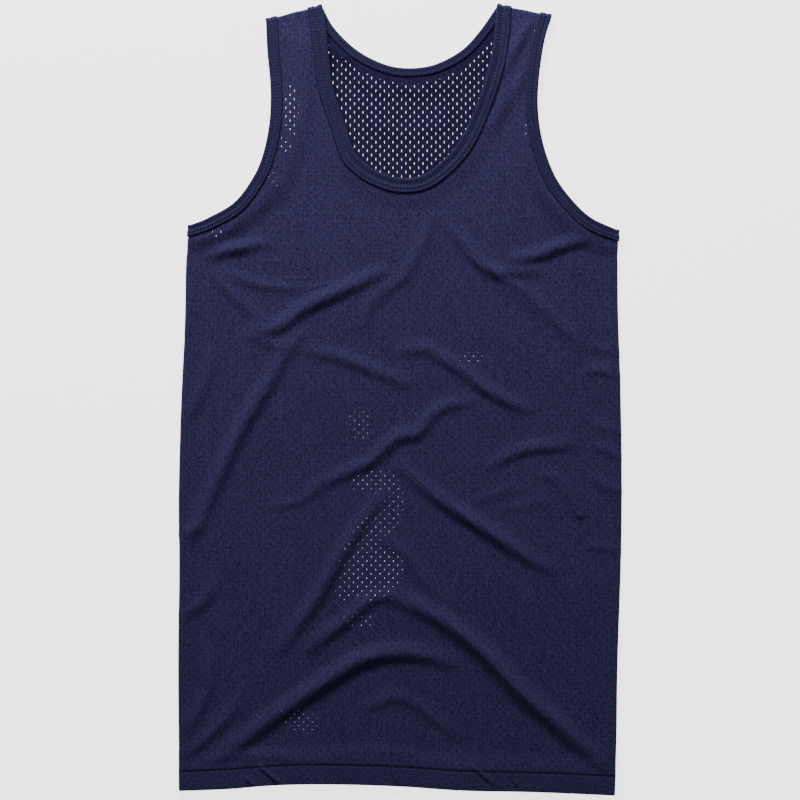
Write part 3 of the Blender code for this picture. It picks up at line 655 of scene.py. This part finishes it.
def eyelet_sheet(neck, lattice):
    """A flat panel of cloth with its eyelets, in millimetres."""
    sheet = bmesh.new(use_operators=True)
    size = np.array([lattice.columns, lattice.rows])
    bmesh.ops.create_grid(sheet, x_segments=lattice.columns, y_segments=lattice.rows, size=0.5)
    bmesh.ops.translate(sheet, vec=(0.5, 0.5, 0), verts=sheet.verts[:])
    scale = (*(size * STRETCH), 1)
    bmesh.ops.scale(sheet, vec=scale, verts=sheet.verts[:])
    outline = outline_of(neck)
    corners = lattice.places(coordinates(sheet.verts) / STRETCH)
    for index, vert in enumerate(sheet.verts):
        vert.index = index
    centres = np.array([corners[[v.index for v in f.verts]].mean(axis=0) for f in sheet.faces])
    outside = ~inside_outline(centres, outline)
    doomed = [face for face, out in zip(sheet.faces[:], outside) if out]
    bmesh.ops.delete(sheet, geom=doomed, context="FACES")
    cells = coordinates(sheet.verts) / STRETCH
    numbers = np.round(cells).astype(int)
    places = lattice.places(cells)
    bound = [GUIDE_EDGES[name].offset(RAW_EDGE) for name in ("left_arm", neck, "right_arm")]
    clear = np.ones(len(places), bool)
    for line in bound:
        clear &= nearest(places, line)[0] > UNDER_BINDING
    for line in (LEFT_SIDE, RIGHT_SIDE, HEM_LINE, LEFT_SHOULDER.ends, RIGHT_SHOULDER.ends):
        clear &= nearest(places, line)[0] > BESIDE_FOLD
    staggered = (numbers.sum(axis=1) % 2) == 0
    chosen = [v for v, ok in zip(sheet.verts[:], clear & staggered) if ok]
    made = bmesh.ops.bevel(
        sheet,
        geom=chosen,
        offset=1.0,
        offset_type="OFFSET",
        segments=1,
        profile=0.5,
        affect="VERTICES",
        material=-1,
    )
    bmesh.ops.delete(sheet, geom=made["faces"], context="FACES_ONLY")
    places = lattice.places(coordinates(sheet.verts) / STRETCH)
    for vert, place in zip(sheet.verts, places):
        vert.co = (*place, 0)
    snap_rim(sheet, [*bound, LEFT_SHOULDER.ends, RIGHT_SHOULDER.ends], SNAP)
    snap_rim(sheet, [LEFT_SIDE, RIGHT_SIDE], SIDE_SNAP)
    return sheet


def snap_rim(sheet, lines, reach):
    """Draws the stepped rim of the lattice out to the cut edges and the shoulders."""
    rim = [vert for vert in sheet.verts if vert.is_boundary]
    places = coordinates(rim)
    gaps = np.array([nearest(places, line)[0] for line in lines])
    for vert, place, column in zip(rim, places, gaps.T):
        if 0.0001 < column.min() < reach:
            vert.co = (*closest_on(place, lines[column.argmin()]), 0)
    bmesh.ops.remove_doubles(sheet, verts=rim, dist=MERGE_WITHIN)


def closest_on(place, line):
    starts, steps = line[:-1], np.diff(line, axis=0)
    t = ((place - starts) * steps).sum(axis=1) / (steps**2).sum(axis=1)
    feet = starts + np.clip(t, 0, 1)[:, None] * steps
    return feet[np.argmin(((feet - place) ** 2).sum(axis=1))]


def lift(sheet, height):
    verts = sheet.verts[:]
    for vert, z in zip(verts, height(coordinates(verts))):
        vert.co.z = z


def rim_on(sheet, line, tolerance=0.06):
    """The rim's edges that lie on a line."""
    verts = [v for v in sheet.verts if v.is_boundary]
    close = nearest(coordinates(verts), line)[0] < tolerance
    on_line = {vert for vert, near in zip(verts, close) if near}
    return [e for e in sheet.edges if e.is_boundary and on_line.issuperset(e.verts)]


def roll_edge(sheet, line, outward, from_front):
    """Extrudes the rim that lies on a fold line round to the seam with the other panel."""
    rim = rim_on(sheet, line)
    flat_place = {tuple(v.co): (v.co.x, v.co.y) for e in rim for v in e.verts}
    way = 1 if from_front else -1
    for angle in (*ROLL_ANGLES, None):
        made = bmesh.ops.extrude_edge_only(sheet, edges=rim)["geom"]
        rim = [g for g in made if isinstance(g, bmesh.types.BMEdge)]
        fresh = [g for g in made if isinstance(g, bmesh.types.BMVert)]
        flat = np.array([flat_place[tuple(vert.co)] for vert in fresh])
        turn = seam_angles(flat) if angle is None else angle
        flat_place = {}
        for vert, origin, place in zip(fresh, flat, roll_places(flat, outward, way * turn)):
            vert.co = place
            flat_place[tuple(vert.co)] = tuple(origin)


def turn_up_hem(sheet, from_front):
    """Folds the foot of a panel inwards and up, which is the hem's second ply."""
    rim = rim_on(sheet, HEM_LINE, 0.4)
    way = -1 if from_front else 1
    radius = STACK / 2
    steps = [(0.0, 0.0)]
    for angle in (45.0, 90.0, 135.0, 180.0):
        turn = math.radians(angle)
        steps.append((-radius * math.sin(turn), way * radius * (1 - math.cos(turn))))
    for share in (0.33, 0.66, 1.0):
        steps.append((HEM_DEPTH * share, way * STACK))
    for (y0, z0), (y1, z1) in zip(steps, steps[1:]):
        made = bmesh.ops.extrude_edge_only(sheet, edges=rim)["geom"]
        rim = [g for g in made if isinstance(g, bmesh.types.BMEdge)]
        verts = [g for g in made if isinstance(g, bmesh.types.BMVert)]
        bmesh.ops.translate(sheet, vec=(0, y1 - y0, z1 - z0), verts=verts)


def finish(name, sheet, materials, thickness=None, facing=0):
    """Makes an object in metres on the frame's root body.

    A wall's inner side takes the second material, which for the panels is a darker copy with
    painted shade, and facing says whether it lies face up or down.
    """
    bmesh.ops.recalc_face_normals(sheet, faces=sheet.faces[:])
    if facing * sum(face.normal.z * face.calc_area() for face in sheet.faces) < 0:
        bmesh.ops.reverse_faces(sheet, faces=sheet.faces[:])
    bmesh.ops.scale(sheet, vec=(MM, MM, MM), verts=sheet.verts[:])
    mesh = bpy.data.meshes.new(name)
    sheet.to_mesh(mesh)
    sheet.free()
    for material in materials:
        mesh.materials.append(material)
    mesh.shade_smooth()
    obj = bpy.data.objects.new(name, mesh)
    bpy.context.scene.collection.objects.link(obj)
    if thickness:
        wall = obj.modifiers.new("wall", "SOLIDIFY")
        wall.thickness = thickness * MM
        wall.offset = 0
        wall.use_even_offset = False
        wall.material_offset = len(materials) - 1
        # The cloth is shaded by its faces more than by the thin rims of its eyelets
        shading = obj.modifiers.new("shading", "WEIGHTED_NORMAL")
        shading.weight = 50
        shading.keep_sharp = False
    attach(obj, "root")
    return obj


def mesh_panel(name, neck, height, from_front, lattice, materials):
    sheet = eyelet_sheet(neck, lattice)
    above_hem = sheet.verts.layers.float.new("above_hem")
    verts = sheet.verts[:]
    places = coordinates(verts)
    for vert, value in zip(verts, places[:, 1] - hem_y(places[:, 0])):
        vert[above_hem] = value
    lift(sheet, height)
    turn_up_hem(sheet, from_front)
    rolled = (
        (LEFT_SIDE, (-1, 0)),
        (RIGHT_SIDE, (1, 0)),
        (LEFT_SHOULDER.ends, LEFT_SHOULDER.outward),
        (RIGHT_SHOULDER.ends, RIGHT_SHOULDER.outward),
    )
    for line, outward in rolled:
        roll_edge(sheet, line, outward, from_front)
    return finish(name, sheet, materials, MESH_PLY, 1 if from_front else -1)


# Rib bindings

# The dark column is painted shade: darker colour at the seam drop, in the stitch grooves and at
# the inner leg's end.
Section = namedtuple("Section", "depth side ribbed dark valley")
BINDING_SECTION = [
    Section(12.5, 0.4, 0, 1, 0),
    Section(12.4, 1.1, 0.4, 0.9, 0),
    Section(11.75, 1.78, 1, 0, 0),
    Section(10.7, 1.96, 1, 0, 0),
    Section(9.95, 1.7, 0.6, 0.1, 0),
    Section(9.4, 1.42, 0.3, 0.5, 0),
    Section(8.85, 1.72, 0.6, 0.1, 0),
    Section(7.9, 2.02, 1, 0, 0),
    Section(7.0, 1.8, 1, 0, 0.15),
    Section(5.9, 1.34, 1, 0.05, 0.55),
    Section(4.4, 1.36, 1, 0, 0.3),
    Section(2.6, 1.8, 1, 0, 0),
    Section(1.15, 1.95, 1, 0, 0),
    Section(0.35, 1.4, 1, 0, 0),
    Section(0.05, 0.5, 1, 0, 0),
    Section(0.05, -0.5, 1, 0, 0),
    Section(0.35, -1.25, 1, 0, 0),
    Section(1.1, -1.6, 1, 0, 0),
    Section(2.8, -1.5, 1, 0, 0),
    Section(3.6, -1.22, 0, 0.5, 0),
    Section(4.4, -1.5, 1, 0, 0),
    Section(5.8, -1.55, 1, 0, 0),
    Section(6.9, -1.3, 0.5, 0, 0),
    Section(7.1, -0.6, 0, 0.3, 0),
    Section(1.3, -0.55, 0, 1, 0),
    Section(1.3, 0.55, 0, 1, 0),
]
STITCH_DEPTH = 9.4
INSIDE_STITCH_DEPTH = 3.6
DEPTHS, OFFSETS, RIBBED, PAINTED_SHADE, VALLEY = np.transpose(BINDING_SECTION)
RIB_SIGNS = np.sign(OFFSETS)
# Painted shade between two ribs.
RIB_PAINTED_SHADE = 0.68


def rib_wave(count):
    """1 on a rib and -1 between two, for a run of stations."""
    return np.where(np.arange(count) % 2 == 0, 1.0, -1.0)[:, None]


def ribbed_offsets(count, valley):
    """Side offsets for a run of stations, every other one raised as a rib."""
    return OFFSETS - valley * VALLEY + RIB_HEIGHT * rib_wave(count) * RIBBED * RIB_SIGNS


def painted_shades(count):
    """Painted shade on the rib: how much darker it is at its seam drop, in its stitch grooves and
    between two ribs.
    """
    between_ribs = RIB_PAINTED_SHADE * (rib_wave(count) < 0) * RIBBED
    return np.maximum(between_ribs, PAINTED_SHADE)


def flat_stations(edge, height, sign, width_scale, valley):
    depths = DEPTHS * width_scale
    places = edge.places[:, None, :] + edge.ways[:, None, :] * depths[None, :, None]
    heights = height(places.reshape(-1, 2)).reshape(len(edge.places), -1)
    return np.dstack([places, heights + sign * ribbed_offsets(len(edge.places), valley)])


def turned_stations(edge, end, outward, downwards, width_scale, valley):
    places = edge.places[end] + edge.ways[end] * (DEPTHS * width_scale)[:, None]
    angles = [*ROLL_ANGLES, 0.0, *(-angle for angle in ROLL_ANGLES[::-1])]
    if not downwards:
        angles.reverse()
    offsets = ribbed_offsets(len(angles), valley)
    rings = [roll_places(places, outward, a, o) for a, o in zip(angles, offsets)]
    return np.array(rings)


def binding(name, front, back, outward, width_scale, valley, material):
    """A folded strip of rib: along the front edge, round the fold, and home along the back."""
    runs = [
        flat_stations(front, front_middle, 1, width_scale, valley),
        turned_stations(front, -1, outward[1], True, width_scale, valley),
        flat_stations(back, back_middle, -1, width_scale, valley)[::-1],
        turned_stations(front, 0, outward[0], False, width_scale, valley),
    ]
    stations = np.concatenate(runs)
    painted_darkness = np.concatenate([painted_shades(len(run)) for run in runs])
    stations[:, :, 2] = np.maximum(stations[:, :, 2], FLOOR_CLEARANCE)
    band = bmesh.new(use_operators=True)
    # The dark layer carries the painted shade of the section and between the ribs to the material.
    dark = band.verts.layers.float.new("dark")
    made = bmesh.ops.create_circle(band, segments=len(BINDING_SECTION), radius=1.0)
    order = made["verts"]
    ring = band.edges[:]
    opening = list(ring)
    for vert, place, shade in zip(order, stations[0], painted_darkness[0]):
        vert.co = place
        vert[dark] = shade
    for station, row in zip(stations[1:], painted_darkness[1:]):
        geometry = bmesh.ops.extrude_edge_only(band, edges=ring)["geom"]
        ring = [g for g in geometry if isinstance(g, bmesh.types.BMEdge)]
        fresh = {tuple(g.co): g for g in geometry if isinstance(g, bmesh.types.BMVert)}
        order = [fresh[tuple(vert.co)] for vert in order]
        for vert, place, shade in zip(order, station, row):
            vert.co = place
            vert[dark] = shade
    bmesh.ops.bridge_loops(band, edges=ring + opening)
    return finish(name, band, [material])


# Stitches

STITCH_LENGTH = 2.6
STITCH_STEP = 3.2
STITCH_THICKNESS = 0.36
STITCH_SIDE = 1.12  # from the middle of the cloth out to a binding's main rows
INSIDE_STITCH_SIDE = 1.22
STITCH_RISE = 0.1  # the least height of a binding stitch's middle above the lowest cloth
HEM_STEP = 3.0
HEM_ENDS_AT = -350.0  # the height at which the hem's rows meet the sides


def stitch_row(bag, places, heights):
    """Small spindles of thread end to end along a line on the cloth."""
    line = np.column_stack([places, heights])
    run = np.concatenate([[0], np.cumsum(np.linalg.norm(np.diff(line, axis=0), axis=1))])
    for middle in np.arange(STITCH_STEP, run[-1] - STITCH_STEP, STITCH_STEP):
        ends = [
            Vector([np.interp(middle + half, run, line[:, k]) for k in range(3)])
            for half in (-STITCH_LENGTH / 2, STITCH_LENGTH / 2)
        ]
        along = ends[1] - ends[0]
        size = (STITCH_LENGTH / 2, STITCH_THICKNESS / 2, STITCH_THICKNESS / 2)
        place = Matrix.LocRotScale((ends[0] + ends[1]) / 2, along.to_track_quat("X", "Z"), size)
        bmesh.ops.create_icosphere(bag, subdivisions=1, radius=1.0, matrix=place)


def binding_stitches(name, front, back, width_scale, material):
    bag = bmesh.new(use_operators=True)
    rows = (
        (front, front_middle, STITCH_DEPTH, STITCH_SIDE),
        (back, back_middle, STITCH_DEPTH, -STITCH_SIDE),
        (back, back_middle, INSIDE_STITCH_DEPTH, INSIDE_STITCH_SIDE),
    )
    for edge, height, depth, side in rows:
        places = edge.offset(depth * width_scale)
        heights = np.maximum(height(places) + side, FLOOR_CLEARANCE + STITCH_RISE)
        stitch_row(bag, places, heights)
    return finish(name, bag, [material])


def hem_stitches(material):
    bag = bmesh.new(use_operators=True)
    left, right = (side_x(HEM_ENDS_AT, side) for side in (LEFT_SIDE, RIGHT_SIDE))
    x = np.arange(left + 1, right - 1, HEM_STEP)
    places = np.column_stack([x, hem_y(x) + HEM_STITCH])
    stitch_row(bag, places, front_middle(places) + MESH_PLY / 2)
    under = np.maximum(back_middle(places) - MESH_PLY / 2, FLOOR_CLEARANCE + STITCH_THICKNESS / 2)
    stitch_row(bag, places, under)
    return finish("hem_stitches", bag, [material])


# Materials

Finish = namedtuple("Finish", "dark light roughness grain bump")
FINISHES = {
    "navy_mesh": Finish((0.0155, 0.0125, 0.042), (0.0582, 0.0492, 0.152), 0.85, 2.0, 0.35),
    # The wrong side of the cloth is a darker copy of it: painted shade for the inside of the
    # garment.
    "navy_mesh_inside_shaded": Finish((0.0065, 0.0052, 0.022), (0.027, 0.023, 0.084), 0.85, 1.7, 0.35),
    "navy_rib": Finish((0.014, 0.0122, 0.040), (0.050, 0.0455, 0.136), 0.8, 1.7, 0.3),
    "navy_thread": Finish((0.014, 0.012, 0.040), (0.034, 0.030, 0.096), 0.6, 0.6, 0.1),
}
YARN_RELIEF = 0.6
SLOW_TONE_SCALE = 22.0
HEM_LINE_WIDTH = 1.7


def set_inputs(node, values):
    for socket, value in values.items():
        node.inputs[socket].default_value = value


class Sums:
    """Adds nodes that calculate to a node tree."""

    def __init__(self, tree):
        self.nodes, self.links = tree.nodes, tree.links

    def fill(self, sockets, values):
        for socket, value in zip(sockets, values):
            if isinstance(value, bpy.types.NodeSocket):
                self.links.new(value, socket)
            else:
                socket.default_value = value

    def number(self, operation, first, second):
        node = self.nodes.new("ShaderNodeMath")
        node.operation = operation
        self.fill(node.inputs, (first, second))
        return node.outputs[0]

    def vector(self, operation, first, second):
        node = self.nodes.new("ShaderNodeVectorMath")
        node.operation = operation
        self.fill(node.inputs, (first, second))
        scalar = operation in ("DOT_PRODUCT", "DISTANCE")
        return node.outputs["Value" if scalar else "Vector"]

    def scaled(self, vector, factor):
        node = self.nodes.new("ShaderNodeVectorMath")
        node.operation = "SCALE"
        self.fill((node.inputs[0], node.inputs["Scale"]), (vector, factor))
        return node.outputs["Vector"]

    def centred(self, value, amount):
        return self.number("MULTIPLY", self.number("SUBTRACT", value, 0.5), amount)


def new_group(name, numbers, vectors, results):
    """A node group with named inputs, and what is needed to fill it."""
    group = bpy.data.node_groups.new(name, "ShaderNodeTree")
    sockets = group.interface
    for socket, default in numbers:
        made = sockets.new_socket(socket, in_out="INPUT", socket_type="NodeSocketFloat")
        made.default_value = default
    for socket in vectors:
        sockets.new_socket(socket, in_out="INPUT", socket_type="NodeSocketVector")
    for socket in results:
        sockets.new_socket(socket, in_out="OUTPUT", socket_type="NodeSocketFloat")
    given, out = group.nodes.new("NodeGroupInput"), group.nodes.new("NodeGroupOutput")
    return group, given.outputs, out.inputs, Sums(group)


def knit_grain_group():
    """Fine uneven yarn, drawn out along the wales, and slow changes of tone over the cloth."""
    numbers = (("Grain", 0.5), ("Tone", 0.2), ("Streak", 0.42), ("Size", 0.0008))
    group, given, out, sums = new_group("knit grain", numbers, ["Place"], ["Shade", "Height"])
    nodes, links = group.nodes, group.links
    squash = nodes.new("ShaderNodeCombineXYZ")
    sums.fill([squash.inputs[axis] for axis in "XYZ"], (1.0, given["Streak"], 1.0))
    drawn = sums.vector("MULTIPLY", given["Place"], squash.outputs["Vector"])
    fine = nodes.new("ShaderNodeTexNoise")
    fine.inputs["Detail"].default_value = 1.0
    links.new(drawn, fine.inputs["Vector"])
    links.new(sums.number("DIVIDE", 1.0, given["Size"]), fine.inputs["Scale"])
    slow = nodes.new("ShaderNodeTexNoise")
    set_inputs(slow, {"Scale": SLOW_TONE_SCALE, "Detail": 3.0})
    links.new(given["Place"], slow.inputs["Vector"])
    grain = sums.centred(fine.outputs["Fac"], given["Grain"])
    tone = sums.centred(slow.outputs["Fac"], given["Tone"])
    shade = sums.number("ADD", sums.number("ADD", grain, tone), 0.5)
    links.new(shade, out["Shade"])
    links.new(fine.outputs["Fac"], out["Height"])
    return group


def line_group():
    """1 along a line at one value of a coordinate, falling to 0 within a half width of it."""
    numbers = (("Coordinate", 0.0), ("At", 0.0), ("Half Width", 1.0))
    group, given, out, sums = new_group("line", numbers, [], ["Mask"])
    beside = sums.number("SUBTRACT", given["Coordinate"], given["At"])
    beside = sums.number("ABSOLUTE", beside, 0.0)
    share = sums.number("DIVIDE", beside, given["Half Width"])
    mask = sums.number("MAXIMUM", sums.number("SUBTRACT", 1.0, share), 0.0)
    group.links.new(mask, out["Mask"])
    return group


def crease_group():
    """The height of one soft crease between two places, highest halfway along it."""
    numbers = (("Half Width", 0.0), ("Height", 0.0))
    group, given, out, sums = new_group("crease", numbers, ["Place", "Start", "End"], ["Rise"])
    flat = sums.vector("MULTIPLY", given["Place"], (1, 1, 0))
    offset = sums.vector("SUBTRACT", flat, given["Start"])
    span = sums.vector("SUBTRACT", given["End"], given["Start"])
    along = sums.vector("DOT_PRODUCT", offset, span)
    share = sums.number("DIVIDE", along, sums.vector("DOT_PRODUCT", span, span))
    share = sums.number("MINIMUM", sums.number("MAXIMUM", share, 0.0), 1.0)
    away = sums.vector("DISTANCE", offset, sums.scaled(span, share))
    away = sums.number("DIVIDE", away, given["Half Width"])
    bell = group.nodes.new("ShaderNodeMapRange")
    bell.interpolation_type = "SMOOTHSTEP"
    set_inputs(bell, {"From Min": 1.0, "From Max": 0.0})
    group.links.new(away, bell.inputs["Value"])
    left = sums.number("SUBTRACT", 1.0, share)
    taper = sums.number("MULTIPLY", sums.number("MULTIPLY", share, left), 4.0)
    height = sums.number("MULTIPLY", bell.outputs["Result"], taper)
    group.links.new(sums.number("MULTIPLY", height, given["Height"]), out["Rise"])
    return group


def add_relief(material, height, distance, pressed_in=False):
    """Puts one more relief on top of those that a cloth material has."""
    nodes, links = material.node_tree.nodes, material.node_tree.links
    normal = nodes["Principled BSDF"].inputs["Normal"]
    relief = nodes.new("ShaderNodeBump")
    relief.invert = pressed_in
    set_inputs(relief, {"Strength": 1.0, "Distance": distance * MM})
    links.new(height, relief.inputs["Height"])
    links.new(normal.links[0].from_socket, relief.inputs["Normal"])
    links.new(relief.outputs["Normal"], normal)


def add_creases(material, group):
    """Raises the fine creases in a cloth material's relief."""
    sums = Sums(material.node_tree)
    place = sums.nodes.new("ShaderNodeTexCoord")
    total = None
    for crease in CREASES:
        node = sums.nodes.new("ShaderNodeGroup")
        node.node_tree = group
        set_inputs(node, {
            "Start": (crease.x0 * MM, crease.y0 * MM, 0),
            "End": (crease.x1 * MM, crease.y1 * MM, 0),
            "Half Width": crease.half_width * MM,
            "Height": crease.height,
        })
        sums.links.new(place.outputs["Object"], node.inputs["Place"])
        height = node.outputs["Rise"]
        total = height if total is None else sums.number("ADD", total, height)
    add_relief(material, total, 1.0)


def attribute(material, name):
    node = material.node_tree.nodes.new("ShaderNodeAttribute")
    node.attribute_name = name
    return node.outputs["Fac"]


def hem_mask(material, lines):
    """The pressed-in stitch line above the hem of a panel: the mask for its relief and its painted
    shade.
    """
    node = material.node_tree.nodes.new("ShaderNodeGroup")
    node.node_tree = lines
    set_inputs(node, {"At": HEM_STITCH, "Half Width": HEM_LINE_WIDTH})
    above_hem = attribute(material, "above_hem")
    material.node_tree.links.new(above_hem, node.inputs["Coordinate"])
    return node.outputs["Mask"]


def paint_shade(material, mask, depth, least):
    """Paints shade into a cloth material by darkening it, and presses it in, where a mask says so.
    """
    sums = Sums(material.node_tree)
    base = sums.nodes["Principled BSDF"].inputs["Base Color"]
    kept = sums.number("SUBTRACT", 1.0, sums.number("MULTIPLY", mask, 1.0 - least))
    sums.links.new(sums.scaled(base.links[0].from_socket, kept), base)
    add_relief(material, mask, depth, pressed_in=True)


def cloth_material(name, grain_group):
    finish = FINISHES[name]
    material = bpy.data.materials.new(name)
    material.use_nodes = True
    nodes, links = material.node_tree.nodes, material.node_tree.links
    shader = nodes["Principled BSDF"]
    set_inputs(shader, {
        "Roughness": finish.roughness,
        "Specular IOR Level": 0.07,
        "Sheen Weight": 0.07,
        "Sheen Roughness": 0.4,
        "Sheen Tint": (0.5, 0.45, 1.0, 1),
    })
    place = nodes.new("ShaderNodeTexCoord")
    yarn = nodes.new("ShaderNodeGroup")
    yarn.node_tree = grain_group
    yarn.inputs["Grain"].default_value = finish.grain
    links.new(place.outputs["Object"], yarn.inputs["Place"])
    colour = nodes.new("ShaderNodeMix")
    colour.data_type = "RGBA"
    set_inputs(colour, {"A": (*finish.dark, 1), "B": (*finish.light, 1)})
    links.new(yarn.outputs["Shade"], colour.inputs["Factor"])
    links.new(colour.outputs["Result"], shader.inputs["Base Color"])
    relief = nodes.new("ShaderNodeBump")
    set_inputs(relief, {"Strength": YARN_RELIEF, "Distance": finish.bump * MM})
    links.new(yarn.outputs["Height"], relief.inputs["Height"])
    links.new(relief.outputs["Normal"], shader.inputs["Normal"])
    return material


# Studio, with places and sizes in metres

FLOOR_REACH = 4.0
FLOOR_GLOW = 2.6
KEY_POWER = 39.0
KEY_SIZE = (1.4, 0.5)
KEY_PLACE = (-0.32, 1.46, 0.78)
FILL_STRENGTH = 0.15
LENS = 100.0
SENSOR = 36.0
VIEW_WIDTH = 0.760
PIXEL = 0.00095  # one point of the photo


def add_object(name, data):
    obj = bpy.data.objects.new(name, data)
    bpy.context.scene.collection.objects.link(obj)
    return obj


def studio():
    """A plain pale floor, one wide soft light beyond the shoulders and a weak even fill."""
    ground = bmesh.new(use_operators=True)
    bmesh.ops.create_grid(ground, x_segments=1, y_segments=1, size=FLOOR_REACH)
    mesh = bpy.data.meshes.new("floor")
    ground.to_mesh(mesh)
    ground.free()
    floor = add_object("floor", mesh)
    paper = bpy.data.materials.new("pale_floor")
    paper.use_nodes = True
    shader = paper.node_tree.nodes["Principled BSDF"]
    set_inputs(shader, {
        "Base Color": (0.9, 0.9, 0.9, 1),
        "Roughness": 1.0,
        "Specular IOR Level": 0.0,
        "Emission Color": (1, 1, 1, 1),
        "Emission Strength": FLOOR_GLOW,
    })
    mesh.materials.append(paper)
    light = bpy.data.lights.new("window", "AREA")
    light.shape = "RECTANGLE"
    light.size, light.size_y = KEY_SIZE
    light.energy = KEY_POWER
    lamp = add_object("window", light)
    place = Vector(KEY_PLACE)
    lamp.matrix_world = Matrix.LocRotScale(place, (-place).to_track_quat("-Z", "Y"), (1, 1, 1))
    world = bpy.data.worlds.new("studio")
    world.use_nodes = True
    background = world.node_tree.nodes["Background"]
    set_inputs(background, {"Color": (1, 1, 1, 1), "Strength": FILL_STRENGTH})
    bpy.context.scene.world = world


def camera():
    """Straight above the garment, with the photo's frame of 800 by 800 points of 0.95 mm."""
    data = bpy.data.cameras.new("camera")
    data.lens = LENS
    data.sensor_width = SENSOR
    data.clip_end = 20
    obj = add_object("camera", data)
    obj.location = (0, -PIXEL, LENS * VIEW_WIDTH / SENSOR + FRONT_REST * MM)
    bpy.context.scene.camera = obj


Loop = namedtuple("Loop", "name node first second outward width_scale valley")
TOPS = LEFT_SHOULDER.outward, RIGHT_SHOULDER.outward
LOOPS = [
    Loop("neck", "neck_binding", "front_neck", "back_neck", TOPS, NECK_WIDTH_SCALE, 1.0),
    Loop(
        "left_arm", "armhole_binding_left", "left_arm", "left_arm",
        (TOPS[0], (-1, 0)), ARM_WIDTH_SCALE, 0.15,
    ),
    Loop(
        "right_arm", "armhole_binding_right", "right_arm", "right_arm",
        (TOPS[1], (1, 0)), ARM_WIDTH_SCALE, 0.15,
    ),
]


def bound_loop(loop, rib_edges, rib, thread):
    """One rib binding with its rows of stitches."""
    ends = rib_edges[loop.first], rib_edges[loop.second]
    piece = binding(loop.name + "_rib", *ends, loop.outward, loop.width_scale, loop.valley, rib)
    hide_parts(loop.node)
    sewn = binding_stitches(loop.name + "_stitches", *ends, loop.width_scale, thread)


def main():
    camera()
    studio()
    grain, lines, creases = knit_grain_group(), line_group(), crease_group()
    # inside is the cloth's darker copy with painted shade, for the wrong side of both panels.
    cloth, inside, rib, thread = (cloth_material(name, grain) for name in FINISHES)
    for material in (cloth, inside):
        # Painted shade along the hem's pressed-in stitch line, with its relief.
        paint_shade(material, hem_mask(material, lines), depth=0.6, least=0.6)
        add_creases(material, creases)
    # Painted shade in the rib's stitch grooves, at its seam drop and between its ribs.
    paint_shade(rib, attribute(rib, "dark"), depth=0.1, least=0.45)
    walls = [cloth, inside]
    front = mesh_panel("front_mesh", "front_neck", front_middle, True, Lattice(False), walls)
    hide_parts("front_panel", "front_hem_ply")
    back = mesh_panel("back_mesh", "back_neck", back_middle, False, Lattice(True), walls)
    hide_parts("back_panel", "back_hem_ply")
    rib_edges = edges(RIB_PITCH / 2)
    for loop in LOOPS:
        bound_loop(loop, rib_edges, rib, thread)
    sewn = hem_stitches(thread)


main()
